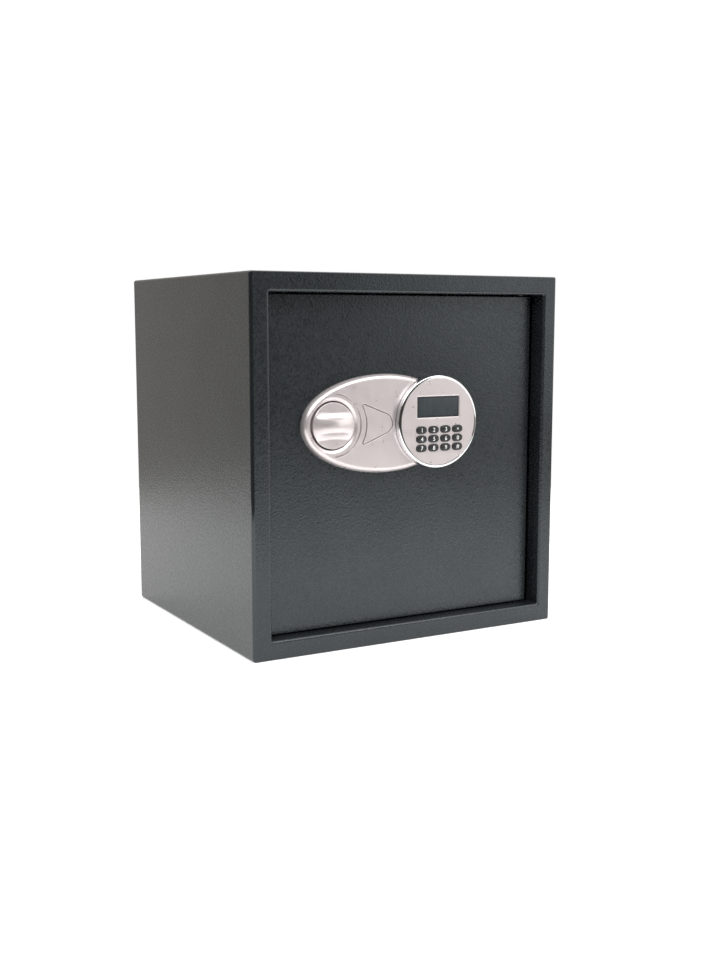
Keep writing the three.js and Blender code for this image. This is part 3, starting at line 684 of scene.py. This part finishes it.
def build_cabinet():
    install(front_frame(), "front_frame")
    install(body_shell(), "body_shell")
    install(back_panel(), "back_panel")
    for node in ("floor_plug_left", "floor_plug_right", "back_plug_left", "back_plug_right"):
        install(anchor_plug(node), node)
    for node, width in (
        ("shelf", 0.7),
        ("shelf_rail_left", 0.5),
        ("shelf_rail_right", 0.5),
        ("hinge_bracket_top", 0.6),
        ("hinge_bracket_bottom", 0.6),
        ("floor_mat", 0.8),
    ):
        install(refined(node, width), node)


# ---- Door and fascia ----

FASCIA_LOW, FASCIA_HIGH = mm_box("fascia")
FASCIA_HALF = (FASCIA_HIGH.z - FASCIA_LOW.z) / 2
FASCIA_Z = (FASCIA_HIGH.z + FASCIA_LOW.z) / 2
FASCIA_RIM = 6.0  # width of its rounded rim
PANEL = FASCIA_LOW.y  # face of the fascia
PANEL_BASE = FASCIA_HIGH.y
KNOB_LOW, KNOB_HIGH = mm_box("knob")
KNOB_RADIUS = (KNOB_HIGH.x - KNOB_LOW.x) / 2
KNOB_X = (KNOB_HIGH.x + KNOB_LOW.x) / 2
KNOB_Z = (KNOB_HIGH.z + KNOB_LOW.z) / 2
KEYPAD_LOW, KEYPAD_HIGH = mm_box("keypad_housing")
KEYPAD_RADIUS = (KEYPAD_HIGH.x - KEYPAD_LOW.x) / 2
KEYPAD = ((KEYPAD_HIGH.x + KEYPAD_LOW.x) / 2, (KEYPAD_HIGH.z + KEYPAD_LOW.z) / 2)
KEYPAD_FACE = KEYPAD_LOW.y
FASCIA_LONG_SIDE = 100.3  # from its widest place to its left end
FASCIA_SHORT_SIDE = 91.0  # and to its right end, under the keypad
FASCIA_X = FASCIA_LOW.x + FASCIA_LONG_SIDE
KNOB_GAP = 1.5
DISH = 3.4  # width of the dished ring round the knob
DISH_DEPTH = 1.6
DISH_CURVE = 1.25  # how hollow it is; 1 is a straight slope
DISH_LIP = 0.5  # rounding over the edge of the knob's hole
GROOVE_RADIUS = 33.4
GROOVE = 0.95  # half width
GROOVE_DEPTH = 2.4
GROOVE_TURN = 1.48  # radians from its middle to each end
COVER_ARC = 40.2  # radius of the cover's left side, about the knob's middle
COVER_CORNER = 2.0
COVER_SPREAD = 0.49  # radians from the arc's middle to each corner
COVER_NOSE = 11.6
COVER_NOSE_X = -32.0
COVER_GAP = 0.9
COVER_THICKNESS = 2.0
COVER_LEG_X = 10.0  # left of the lock
COVER_LEG_Z = 14.0  # above and below it
COVER_LEG = (1.0, 1.5)  # half its width and height


def fascia_outline(inset):
    """Two half ellipses, the left one longer."""
    high = FASCIA_HALF - inset
    points = []
    steps = 160
    for i in range(steps):
        angle = ROUND * i / steps
        reach = (FASCIA_SHORT_SIDE if math.cos(angle) > 0 else FASCIA_LONG_SIDE) - inset
        points.append((FASCIA_X + reach * math.cos(angle), FASCIA_Z + high * math.sin(angle)))
    return points


def ring(centre, radius, steps=96):
    """Outline of a round hole; inset makes it larger."""
    return lambda inset: circle(centre, radius + inset, steps)


def disc(centre, radius, steps=96):
    """Outline of a round plate; inset makes it smaller."""
    return lambda inset: circle(centre, radius - inset, steps)


def cover_outline(inset):
    """Two small corners and a round nose; the left side is concentric with the knob."""
    away = COVER_ARC + COVER_CORNER
    corner_x = KNOB_X + away * math.cos(COVER_SPREAD)
    corner_z = away * math.sin(COVER_SPREAD)
    run = COVER_NOSE_X - corner_x
    slope = math.acos((COVER_CORNER - COVER_NOSE) / math.hypot(run, corner_z))
    touch = slope - math.atan2(corner_z, run)
    corner = COVER_CORNER - inset
    far = math.pi + COVER_SPREAD
    points = arc((corner_x, KNOB_Z + corner_z), corner, touch, far, 12)
    points += arc((KNOB_X, KNOB_Z), COVER_ARC + inset, COVER_SPREAD, -COVER_SPREAD, 24)[1:-1]
    points += arc((corner_x, KNOB_Z - corner_z), corner, -far, -touch, 12)
    points += arc((COVER_NOSE_X, KNOB_Z), COVER_NOSE - inset, -touch, touch, 32)[1:-1]
    return points


def groove_outline(inset):
    """Nearly half a ring round the right side of the knob, with round ends."""
    half = GROOVE + inset
    middle = (KNOB_X, KNOB_Z)
    end_x = KNOB_X + GROOVE_RADIUS * math.cos(GROOVE_TURN)
    end_z = GROOVE_RADIUS * math.sin(GROOVE_TURN)
    points = arc(middle, GROOVE_RADIUS + half, -GROOVE_TURN, GROOVE_TURN, 48)
    points += arc((end_x, KNOB_Z + end_z), half, GROOVE_TURN, GROOVE_TURN + math.pi, 6)[1:-1]
    points += arc(middle, GROOVE_RADIUS - half, GROOVE_TURN, -GROOVE_TURN, 48)
    points += arc((end_x, KNOB_Z - end_z), half, math.pi - GROOVE_TURN, 2 * math.pi - GROOVE_TURN, 6)[1:-1]
    return points


def dish_profile():
    """From the fascia's face down into the dished ring and over the lip of the knob's hole."""
    slope, turns = 8, 4  # steps down the dish and over the lip
    points = []
    for k in range(slope + 1):
        share = k / slope
        points.append((DISH + DISH_LIP - DISH * share, PANEL + DISH_DEPTH * share**DISH_CURVE))
    bottom = PANEL + DISH_DEPTH
    for k in range(1, turns + 1):
        turn = math.pi / 2 * k / turns
        points.append((DISH_LIP * (1 - math.sin(turn)), bottom + DISH_LIP * (1 - math.cos(turn))))
    return points + [(0, PANEL_BASE)]


def fascia():
    knob_hole = ring((KNOB_X, KNOB_Z), KNOB_RADIUS + KNOB_GAP)
    rims = [
        (fascia_outline, edge(PANEL, PANEL_BASE, FASCIA_RIM, FASCIA_RIM + 0.6, steps=12)),
        (knob_hole, dish_profile()),
        (lambda inset: cover_outline(-inset), edge(PANEL, PANEL_BASE, 0.5)),
        (groove_outline, edge(PANEL, PANEL + GROOVE_DEPTH, 0.3, steps=3)),
    ]
    moulding = plate("fascia_moulded", rims, blind=(3,))
    seat = [(KEYPAD[0], PANEL, KEYPAD[1])]
    return even_shading(bored(moulding, seat, "y", KEYPAD_RADIUS + GAP, 192))


def drawn_in(sides, inset):
    """Left, right, bottom and top of a rectangle made smaller all round."""
    left, right, bottom, top = sides
    return left + inset, right - inset, bottom + inset, top - inset


def override_key_cover():
    """Three-cornered cap, flush with the fascia, on two clip legs."""
    back = PANEL + COVER_THICKNESS
    outline = lambda inset: cover_outline(inset + COVER_GAP)
    install(plate("key_cover_cap", [(outline, edge(PANEL, back, 0.5, rear=0.2))]), "override_key_cover")
    root = mm_box("override_lock_body")
    across = (root[0].x + root[1].x) / 2 - COVER_LEG_X
    for side in (-1, 1):
        z = KNOB_Z + side * COVER_LEG_Z
        sides = (across - COVER_LEG[0], across + COVER_LEG[0], z - COVER_LEG[1], z + COVER_LEG[1])
        leg = lambda inset, sides=sides: rounded_rectangle(*drawn_in(sides, inset), 0.3, 3)
        tip = mm_box("override_key_cover")[1].y
        legs = plate(f"key_cover_leg_{side + 2}", [(leg, edge(back - 0.5, tip, 0.1, rear=0.4))])
        part_of(legs, "override_key_cover")


# ---- Knob ----

GRIP_DOME = 7.0
GRIP_RIM = 0.6
GRIP_WAIST = 6.6  # half width of the grip's crest in the middle
GRIP_END = 9.8  # and at its ends
GRIP_FLARE = 1.18  # how far the crest's line passes its half width at the rim
GRIP_CROWN = 0.6  # how far the crest falls to its edges
GRIP_HOLLOW = 1.8  # how hollow it is; 1 is a straight slope
GRIP_SCOOP = 8.0  # width of the hollow between the crest's edge and the flat
KNOB_FLAT = PANEL - 0.4
KNOB_EDGE = 0.6


def grip_crest(u):
    """Half width of the crest at u along the grip."""
    return GRIP_WAIST + (GRIP_END - GRIP_WAIST) * (u / KNOB_RADIUS) ** 2 * GRIP_FLARE


def grip_height(u, v):
    """How far the knob stands out at u along its grip and v across it."""
    crest = grip_crest(u)
    dome = lambda across: GRIP_RIM + (GRIP_DOME - GRIP_RIM) * max(0, 1 - (u**2 + across**2) / KNOB_RADIUS**2)
    if abs(v) <= crest:
        return dome(v) * (1 - GRIP_CROWN / GRIP_DOME * (v / crest) ** 2)
    brink = dome(crest) * (1 - GRIP_CROWN / GRIP_DOME)
    return brink * max(0, 1 - (abs(v) - crest) / GRIP_SCOOP) ** GRIP_HOLLOW


def grip_stations(u, reach):
    """Places across the grip, from its middle line over the crest and down the hollow to the rim."""
    crest = grip_crest(u)
    places = [crest * k / 8 for k in range(9)]
    places += [crest + GRIP_SCOOP * k / 14 for k in range(1, 15)]
    half = [min(place, reach) for place in places] + [reach]
    return [-v for v in reversed(half)] + half[1:]


def knob():
    """Round knob face with a waisted, domed grip across it, whose crest has crisp edges."""
    columns = 112
    flat_radius = KNOB_RADIUS - KNOB_EDGE
    vertices, rim, faces = [], [], []
    for i in range(columns + 1):
        turn = math.pi * i / columns
        u, reach = -flat_radius * math.cos(turn), flat_radius * math.sin(turn)
        across = grip_stations(u, reach)
        vertices += [(KNOB_X + u, KNOB_FLAT - grip_height(u, v), KNOB_Z + v) for v in across]
        rim.append((u, reach))
    count = len(across)
    for i in range(columns):
        for k in range(count - 1):
            corner = i * count + k
            faces.append((corner, corner + 1, corner + count + 1, corner + count))
    rim += [(u, -reach) for u, reach in reversed(rim[1:-1])]
    steps = 5
    start = len(vertices)
    for i in range(steps + 2):
        turn = math.pi / 2 * min(i, steps) / steps
        grow = (flat_radius + KNOB_EDGE * math.sin(turn)) / flat_radius
        for u, v in rim:
            depth = KNOB_FLAT - grip_height(u, v) + KNOB_EDGE * (1 - math.cos(turn))
            depth = KNOB_HIGH.y if i > steps else depth
            vertices.append((KNOB_X + u * grow, depth, KNOB_Z + v * grow))
    for i in range(steps + 1):
        bridge(faces, start + i * len(rim), start + (i + 1) * len(rim), len(rim))
    faces.append(tuple(range(len(vertices) - len(rim), len(vertices))))
    return drop_slivers(make_object("knob_moulded", vertices, faces, 24))


# ---- Keypad ----

FACE_RIM = 2.6  # width of the chrome bezel round the face plate
BEZEL_DROP = 1.0  # how far the bezel falls to its outer edge
FACE_PLATE = 1.7
HOUSING_WALL = 2.0  # how far the housing's wall stands in from the bezel
WINDOW_LOW, WINDOW_HIGH = mm_box("display_window")
WINDOW_CHAMFER = 1.4
KEY_WIDTH = 12.9
KEY_HEIGHT = 7.8
KEY_ROUNDNESS = 2.8
KEY_EDGE = 0.8
KEY_CROWN = 0.25
KEY_FLANGE = 0.75
KEY_FLANGE_DEPTH = 1.2
LEGEND_SIZE = 6.2
LEGEND_DEPTH = 0.06
LEGENDS = {"star": "*", "hash": "#"}
KEY_NAMES = ["1", "2", "3", "star", "4", "5", "6", "0", "7", "8", "9", "hash"]


def superellipse(x, z, width, height, steps=64):
    points = []
    for i in range(steps):
        angle = ROUND * i / steps
        across, up = math.cos(angle), math.sin(angle)
        reach_x = math.copysign(abs(across) ** (2 / KEY_ROUNDNESS), across)
        reach_z = math.copysign(abs(up) ** (2 / KEY_ROUNDNESS), up)
        points.append((x + reach_x * width / 2, z + reach_z * height / 2))
    return points


def key_outline(name, grow=0.0):
    """The key's outline, larger by grow; inset moves it in."""
    centre = middle_of("key_" + name)
    wide, high = KEY_WIDTH + 2 * grow, KEY_HEIGHT + 2 * grow
    return lambda inset: superellipse(centre.x, centre.z, wide - 2 * inset, high - 2 * inset)


def keypad_housing():
    """Round chrome band with a bevelled front rim."""
    outer, wall = KEYPAD_RADIUS, KEYPAD_RADIUS - FACE_RIM - HOUSING_WALL
    seat, start = outer - FACE_RIM - GAP, outer - FACE_RIM
    under = KEYPAD_FACE + FACE_PLATE + GAP
    profile = [(outer, KEYPAD_HIGH.y), (wall, KEYPAD_HIGH.y), (wall, under), (seat, under)]
    profile += [(seat, KEYPAD_FACE + 0.1), (seat + 0.1, KEYPAD_FACE)]
    for across, fall in arc((0, 0), 1, math.pi / 2, 0, 14):
        profile.append((start + FACE_RIM * across, KEYPAD_FACE + BEZEL_DROP * (1 - fall)))
    return lathe("keypad_housing_turned", profile, KEYPAD, segments=192)


def window_outline(inset):
    """Opening for the display; inset makes it larger."""
    grow = GAP + inset
    sides = (WINDOW_LOW.x - grow, WINDOW_HIGH.x + grow, WINDOW_LOW.z - grow, WINDOW_HIGH.z + grow)
    return rounded_rectangle(*sides, 0.5 + inset, 4)


def keypad_face():
    radius = KEYPAD_RADIUS - FACE_RIM - 2 * GAP
    back = KEYPAD_FACE + FACE_PLATE
    foot = KEYPAD_FACE + WINDOW_CHAMFER / 2
    chamfer = [(WINDOW_CHAMFER, KEYPAD_FACE), (0.05, foot), (0, foot + 0.05)]
    rims = [(disc(KEYPAD, radius, 192), edge(KEYPAD_FACE, back, 0.2, steps=3))]
    rims.append((window_outline, chamfer + [(0, back)]))
    for name in KEY_NAMES:
        hole = key_outline(name, GAP)
        rims.append((lambda inset, hole=hole: hole(-inset), edge(KEYPAD_FACE, back, 0.25, steps=3)))
    return plate("keypad_face_moulded", rims)


def key_cap(name):
    """Glossy key with soft edges and a low crown, and the flange that holds it in."""
    low, high = mm_box("key_" + name)
    outline = key_outline(name)
    profile = [(KEY_WIDTH * 0.28, low.y), (KEY_WIDTH * 0.16, low.y + KEY_CROWN * 0.3)]
    top = low.y + KEY_CROWN
    under = KEYPAD_FACE + FACE_PLATE + GAP
    profile += edge(top, under, KEY_EDGE, steps=6)
    profile += [(-KEY_FLANGE, under), (-KEY_FLANGE, under + KEY_FLANGE_DEPTH), (0, high.y)]
    return plate(f"key_{name}_cap", [(outline, profile)], smooth_angle=50)


def key_legend(name):
    """The key's printed character, a hair proud of its crown."""
    text = bpy.data.curves.new("legend", "FONT")
    text.body = LEGENDS.get(name, name)
    text.size = LEGEND_SIZE * MM
    text.align_x = "CENTER"
    text.extrude = LEGEND_DEPTH * MM
    shape = linked("legend", text)
    mesh = applied(shape)
    bpy.data.objects.remove(shape)
    mesh.materials.clear()
    across = [v.co.x for v in mesh.vertices]
    up = [v.co.y for v in mesh.vertices]
    centre = middle_of("key_" + name) * MM
    front = mm_box("key_" + name)[0].y * MM
    for vertex in mesh.vertices:
        x = vertex.co.x - (min(across) + max(across)) / 2
        z = vertex.co.y - (min(up) + max(up)) / 2
        vertex.co = Vector((centre.x + x, front - vertex.co.z + 0.02 * MM, centre.z + z))
    mesh.flip_normals()
    thing = linked(f"legend_{name}", mesh)
    thing.data.materials.append(MATERIALS["legend"])
    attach(thing, "key_" + name)
    return thing


def build_panel():
    install(fascia(), "fascia")
    override_key_cover()
    install(knob(), "knob")
    install(keypad_housing(), "keypad_housing")
    install(keypad_face(), "keypad_face")
    install(refined("display_window", 0.3), "display_window")
    for name in KEY_NAMES:
        install(key_cap(name), "key_" + name)
        key_legend(name)


# ---- Door, boltwork and what the door carries ----

DOOR_EDGE = 1.2
SPINDLE_HOLE = 4.8
LOCK_HOLE = 8.5
LEAD_HOLE = 6.0
LEAD_SIDE = 1.6  # from the lead's right side to the middle of its hole
LEAD_RISE = 21.0  # from the fascia's middle up to it
BOLT_CHAMFER = 1.5
CELL = {"sleeve": 48.2, "length": 49.0, "nub": 1.3, "nub_radius": 2.7}
SCREW = {"shank": 1.8, "head": 2.4, "recess": 1.4, "recess_long": 2.0, "recess_short": 0.45}
SPRING = {"wire": 0.35, "turns": 3, "steps": 120}
BUTTON_FLANGE = 1.7  # thickness


def door_plate():
    """Plate with soft edges, bored for the knob's spindle, the lock and the wiring."""
    left, right, bottom, top = DOOR_LOW.x, DOOR_HIGH.x, DOOR_LOW.z, DOOR_HIGH.z

    def outline(inset):
        return rounded_rectangle(*drawn_in((left, right, bottom, top), inset), max(1.5 - inset, 0.3), 4)

    lock = middle_of("override_lock_body")
    lead = mm_box("wiring_lead")[1]
    back = DOOR_HIGH.y
    rims = [(outline, edge(DOOR_FACE, back, DOOR_EDGE, rear=0.8))]
    for centre, radius in (
        ((KNOB_X, KNOB_Z), SPINDLE_HOLE),
        ((lock.x, lock.z), LOCK_HOLE),
        ((lead.x - LEAD_SIDE, FASCIA_Z + LEAD_RISE), LEAD_HOLE),
    ):
        rims.append((ring(centre, radius, 48), edge(DOOR_FACE, back, 0.3, rear=0.3, steps=2)))
    return plate("door_plate_pressed", rims)


def bolt(node):
    """Round bolt with a chamfered nose."""
    low, high = mm_box(node)
    centre = middle_of(node)
    radius = (high.z - low.z) / 2
    profile = [(0, low.x), (radius - BOLT_CHAMFER - 0.2, low.x), (radius - BOLT_CHAMFER, low.x + 0.1)]
    profile += [(radius - 0.1, low.x + BOLT_CHAMFER), (radius, low.x + BOLT_CHAMFER + 0.2)]
    profile += [(radius, high.x), (0, high.x)]
    return lathe(node + "_turned", profile, (centre.y, centre.z), "x", 96)


def battery(node):
    """AA cell with a crimped sleeve and its contact nub."""
    low, high = mm_box(node)
    centre = middle_of(node)
    radius = (high.z - low.z) / 2
    flip = node in ("battery_2", "battery_4")
    sleeve, length, nub = CELL["sleeve"], CELL["length"], CELL["nub_radius"]
    tip = length + CELL["nub"]
    profile = [(0, 0), (radius - 1.2, 0), (radius - 0.9, 0.4), (radius - 0.3, 0.4), (radius, 0.8)]
    profile += [(radius, sleeve), (radius - 0.3, sleeve + 0.4), (radius - 1.0, length - 0.1)]
    profile += [(nub + 0.6, length), (nub, length + 0.2), (nub, tip - 0.1), (nub - 0.3, tip), (0, tip)]
    start, sense = (high.x, -1) if flip else (low.x, 1)
    points = [(r, start + sense * d) for r, d in profile]
    return lathe(node + "_sleeved", points, (centre.y, centre.z), "x", 64)


def cover_screw(node):
    """Pan-head screw with a cross recess."""
    low, high = mm_box(node)
    centre = middle_of(node)
    head, shank, thick = (high.x - low.x) / 2, SCREW["shank"], SCREW["head"]
    seat = high.y - thick
    profile = [(0, low.y), (shank - 0.4, low.y), (shank, low.y + 0.6), (shank, seat)]
    profile += [(head - 0.2, seat), (head, seat + 0.3)]
    for across, up in arc((0, 0), 1, 0, math.pi / 2, 8):
        profile.append((head * across, seat + thick / 4 + 0.75 * thick * up))
    screw = lathe(node + "_turned", profile, (centre.x, centre.z), "y", 64)
    return cut(screw, cross_bit((centre.x, centre.z), high.y))


def cross_bit(centre, y):
    """Cross-shaped tool for a screw's recess."""
    long, short = SCREW["recess_long"], SCREW["recess_short"]
    points = [(long, -short), (long, short), (short, short), (short, long), (-short, long), (-short, short)]
    points += [(-x, -z) for x, z in points]
    outline = lambda inset: [(centre[0] + x, centre[1] + z) for x, z in points]
    return plate("bit", [(outline, [(0, y - SCREW["recess"]), (0, y + 1)])])


def spring():
    """Return spring of round wire on the plunger."""
    low, high = mm_box("plunger_spring")
    centre = middle_of("plunger_spring")
    wire, turns, steps = SPRING["wire"], SPRING["turns"], SPRING["steps"]
    radius = (high.x - low.x) / 2 - wire
    points = []
    for i in range(steps + 1):
        angle = ROUND * turns * i / steps
        z = low.z + wire + (high.z - low.z - 2 * wire) * i / steps
        points.append((centre.x + radius * math.cos(angle), centre.y + radius * math.sin(angle), z))
    return sweep("plunger_spring_wound", points, wire, 10)


def build_spring():
    """The wound return spring with the CAD spring's finish, fixed where it is built; the CAD spring is
    hidden.
    """
    thing = spring()
    thing.data.materials.append(MATERIALS[NODE_SLOT["plunger_spring"]])
    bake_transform(thing)
    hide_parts("plunger_spring")


def reset_button():
    low, high = mm_box("reset_button")
    centre = middle_of("reset_button")
    flange = (high.x - low.x) / 2
    stem = flange - 2
    seat = low.y + BUTTON_FLANGE
    profile = [(0, low.y), (flange - 0.2, low.y), (flange, low.y + 0.2), (flange, seat - 0.2)]
    profile += [(flange - 0.2, seat), (stem, seat), (stem, high.y - 0.8)]
    profile += [(stem - 0.25, high.y - 0.25), (stem - 0.8, high.y), (1.4, high.y - 0.3), (0, high.y - 0.35)]
    return lathe("reset_button_moulded", profile, (centre.x, centre.z), "y", 64)


def build_door():
    install(door_plate(), "door_plate")
    install(bolt("lower_bolt"), "lower_bolt")
    install(bolt("upper_bolt"), "upper_bolt")
    install(reset_button(), "reset_button")
    for i in range(1, 5):
        install(battery(f"battery_{i}"), f"battery_{i}")
        install(cover_screw(f"cover_screw_{i}"), f"cover_screw_{i}")
    install(refined("wiring_lead", 0.1), "wiring_lead")
    build_spring()
    for node, width in (
        ("hinge_pin_top", 0.5),
        ("hinge_pin_bottom", 0.5),
        ("keypad_board", 0.2),
        ("bolt_guide", 0.4),
        ("mechanism_cover", 0.5),
        ("battery_tray", 0.4),
        ("battery_cover", 0.35),
        ("solenoid_frame", 0.3),
        ("solenoid_coil", 0.5),
        ("solenoid_plunger", 0.3),
        ("override_lock_body", 0.4),
        ("override_plug", 0.15),
        ("knob_spindle", 0.4),
        ("drive_cam", 0.4),
        ("bolt_carriage", 0.4),
    ):
        install(refined(node, width), node)


# ---- Camera, floor and light ----

CAMERA_PLACE = (-0.6866, -1.2626, 0.3498)
CAMERA_DOWN = 7.746
CAMERA_TURN = -29.368
CAMERA_LENS = 44.37


def build_camera():
    camera = linked("camera", bpy.data.cameras.new("camera"))
    camera.data.lens = CAMERA_LENS
    camera.data.sensor_width = 36
    camera.location = CAMERA_PLACE
    camera.rotation_euler = (math.radians(90 - CAMERA_DOWN), 0, math.radians(CAMERA_TURN))
    bpy.context.scene.camera = camera


FLOOR_REACH = 1150.0
FLOOR_SIDES = 96
FLOOR_GLOW = 0.3


def floor():
    """Round white table top, as far as the studio is lit."""
    rim = [(x, y, 0) for x, y in circle((0, 0), FLOOR_REACH, FLOOR_SIDES)]
    ground = make_object("studio_floor", rim, [tuple(range(FLOOR_SIDES))])
    glow = {"Emission_Color": (1, 1, 1, 1), "Emission_Strength": FLOOR_GLOW}
    shader = Shader("studio_floor", Specular_IOR_Level=0.2, **glow)
    cloud = shader.ranged(shader.noise(400, 2), 0, 1)
    shader.colour(shader.blend(cloud, (0.86, 0.86, 0.86), (0.88, 0.88, 0.88)))
    shader.roughness(shader.ranged(shader.noise(20, 2), 0.6, 0.7))
    ground.data.materials.append(shader.material)


MIDDLE = (0, 0, 0.2)  # of the safe
SUN_POWER = 2.5
SUN_SPREAD = 120  # degrees of sky that it fills
SOFT_BOXES = [  # name, place, size and watts
    ("key_box", (-0.75, -1.45, 1.75), (1.7, 1.5), 26),
    ("top_box", (0.7, -1.3, 1.9), (1.5, 1.0), 14),
    ("right_box", (1.7, -1.4, 0.75), (1.8, 1.3), 10),
]


def soft_box(name, place, size, power):
    """Oblong soft light at a place, turned to the safe."""
    light = bpy.data.lights.new(name, "AREA")
    light.shape = "RECTANGLE"
    light.size, light.size_y = size
    light.energy = power
    lamp = linked(name, light)
    lamp.location = place
    lamp.rotation_euler = (Vector(MIDDLE) - Vector(place)).to_track_quat("-Z", "Y").to_euler()


ROOM_DARK = 0.05
ROOM_LIGHT = 0.66
ROOM_FADE = 0.6
ROOM_SIDE = (0.52, 0.78, 0.35)  # where the room is lightest
ROOM_TINT = (1.0, 0.94, 0.87, 1)


def build_world():
    """White to the camera; as light, a room that is dark on the camera's side and pale behind."""
    world = bpy.data.worlds.new("studio")
    bpy.context.scene.world = world
    world.use_nodes = True
    tree = world.node_tree
    new, link = tree.nodes.new, tree.links.new
    place = new("ShaderNodeTexCoord")
    toward = new("ShaderNodeVectorMath")
    toward.operation = "DOT_PRODUCT"
    toward.inputs[1].default_value = ROOM_SIDE
    link(place.outputs["Generated"], toward.inputs[0])
    shade = new("ShaderNodeMapRange")
    shade.inputs["From Min"].default_value = -ROOM_FADE
    shade.inputs["From Max"].default_value = ROOM_FADE
    shade.inputs["To Min"].default_value = ROOM_DARK
    shade.inputs["To Max"].default_value = ROOM_LIGHT
    link(toward.outputs["Value"], shade.inputs["Value"])
    lit = tree.nodes["Background"]
    link(shade.outputs["Result"], lit.inputs["Strength"])
    lit.inputs["Color"].default_value = ROOM_TINT
    seen = new("ShaderNodeBackground")
    rays = new("ShaderNodeLightPath")
    mix = new("ShaderNodeMixShader")
    link(rays.outputs["Is Camera Ray"], mix.inputs[0])
    link(lit.outputs[0], mix.inputs[1])
    link(seen.outputs[0], mix.inputs[2])
    seen.inputs["Color"].default_value = (1, 1, 1, 1)
    link(mix.outputs[0], tree.nodes["World Output"].inputs["Surface"])


def build_light():
    bpy.context.scene.view_settings.view_transform = "Standard"
    build_world()
    sun = bpy.data.lights.new("overhead", "SUN")
    sun.energy = SUN_POWER
    sun.angle = math.radians(SUN_SPREAD)
    linked("overhead", sun)
    for name, place, size, power in SOFT_BOXES:
        soft_box(name, place, size, power)


build_camera()
floor()
build_cabinet()
build_panel()
build_door()
build_light()
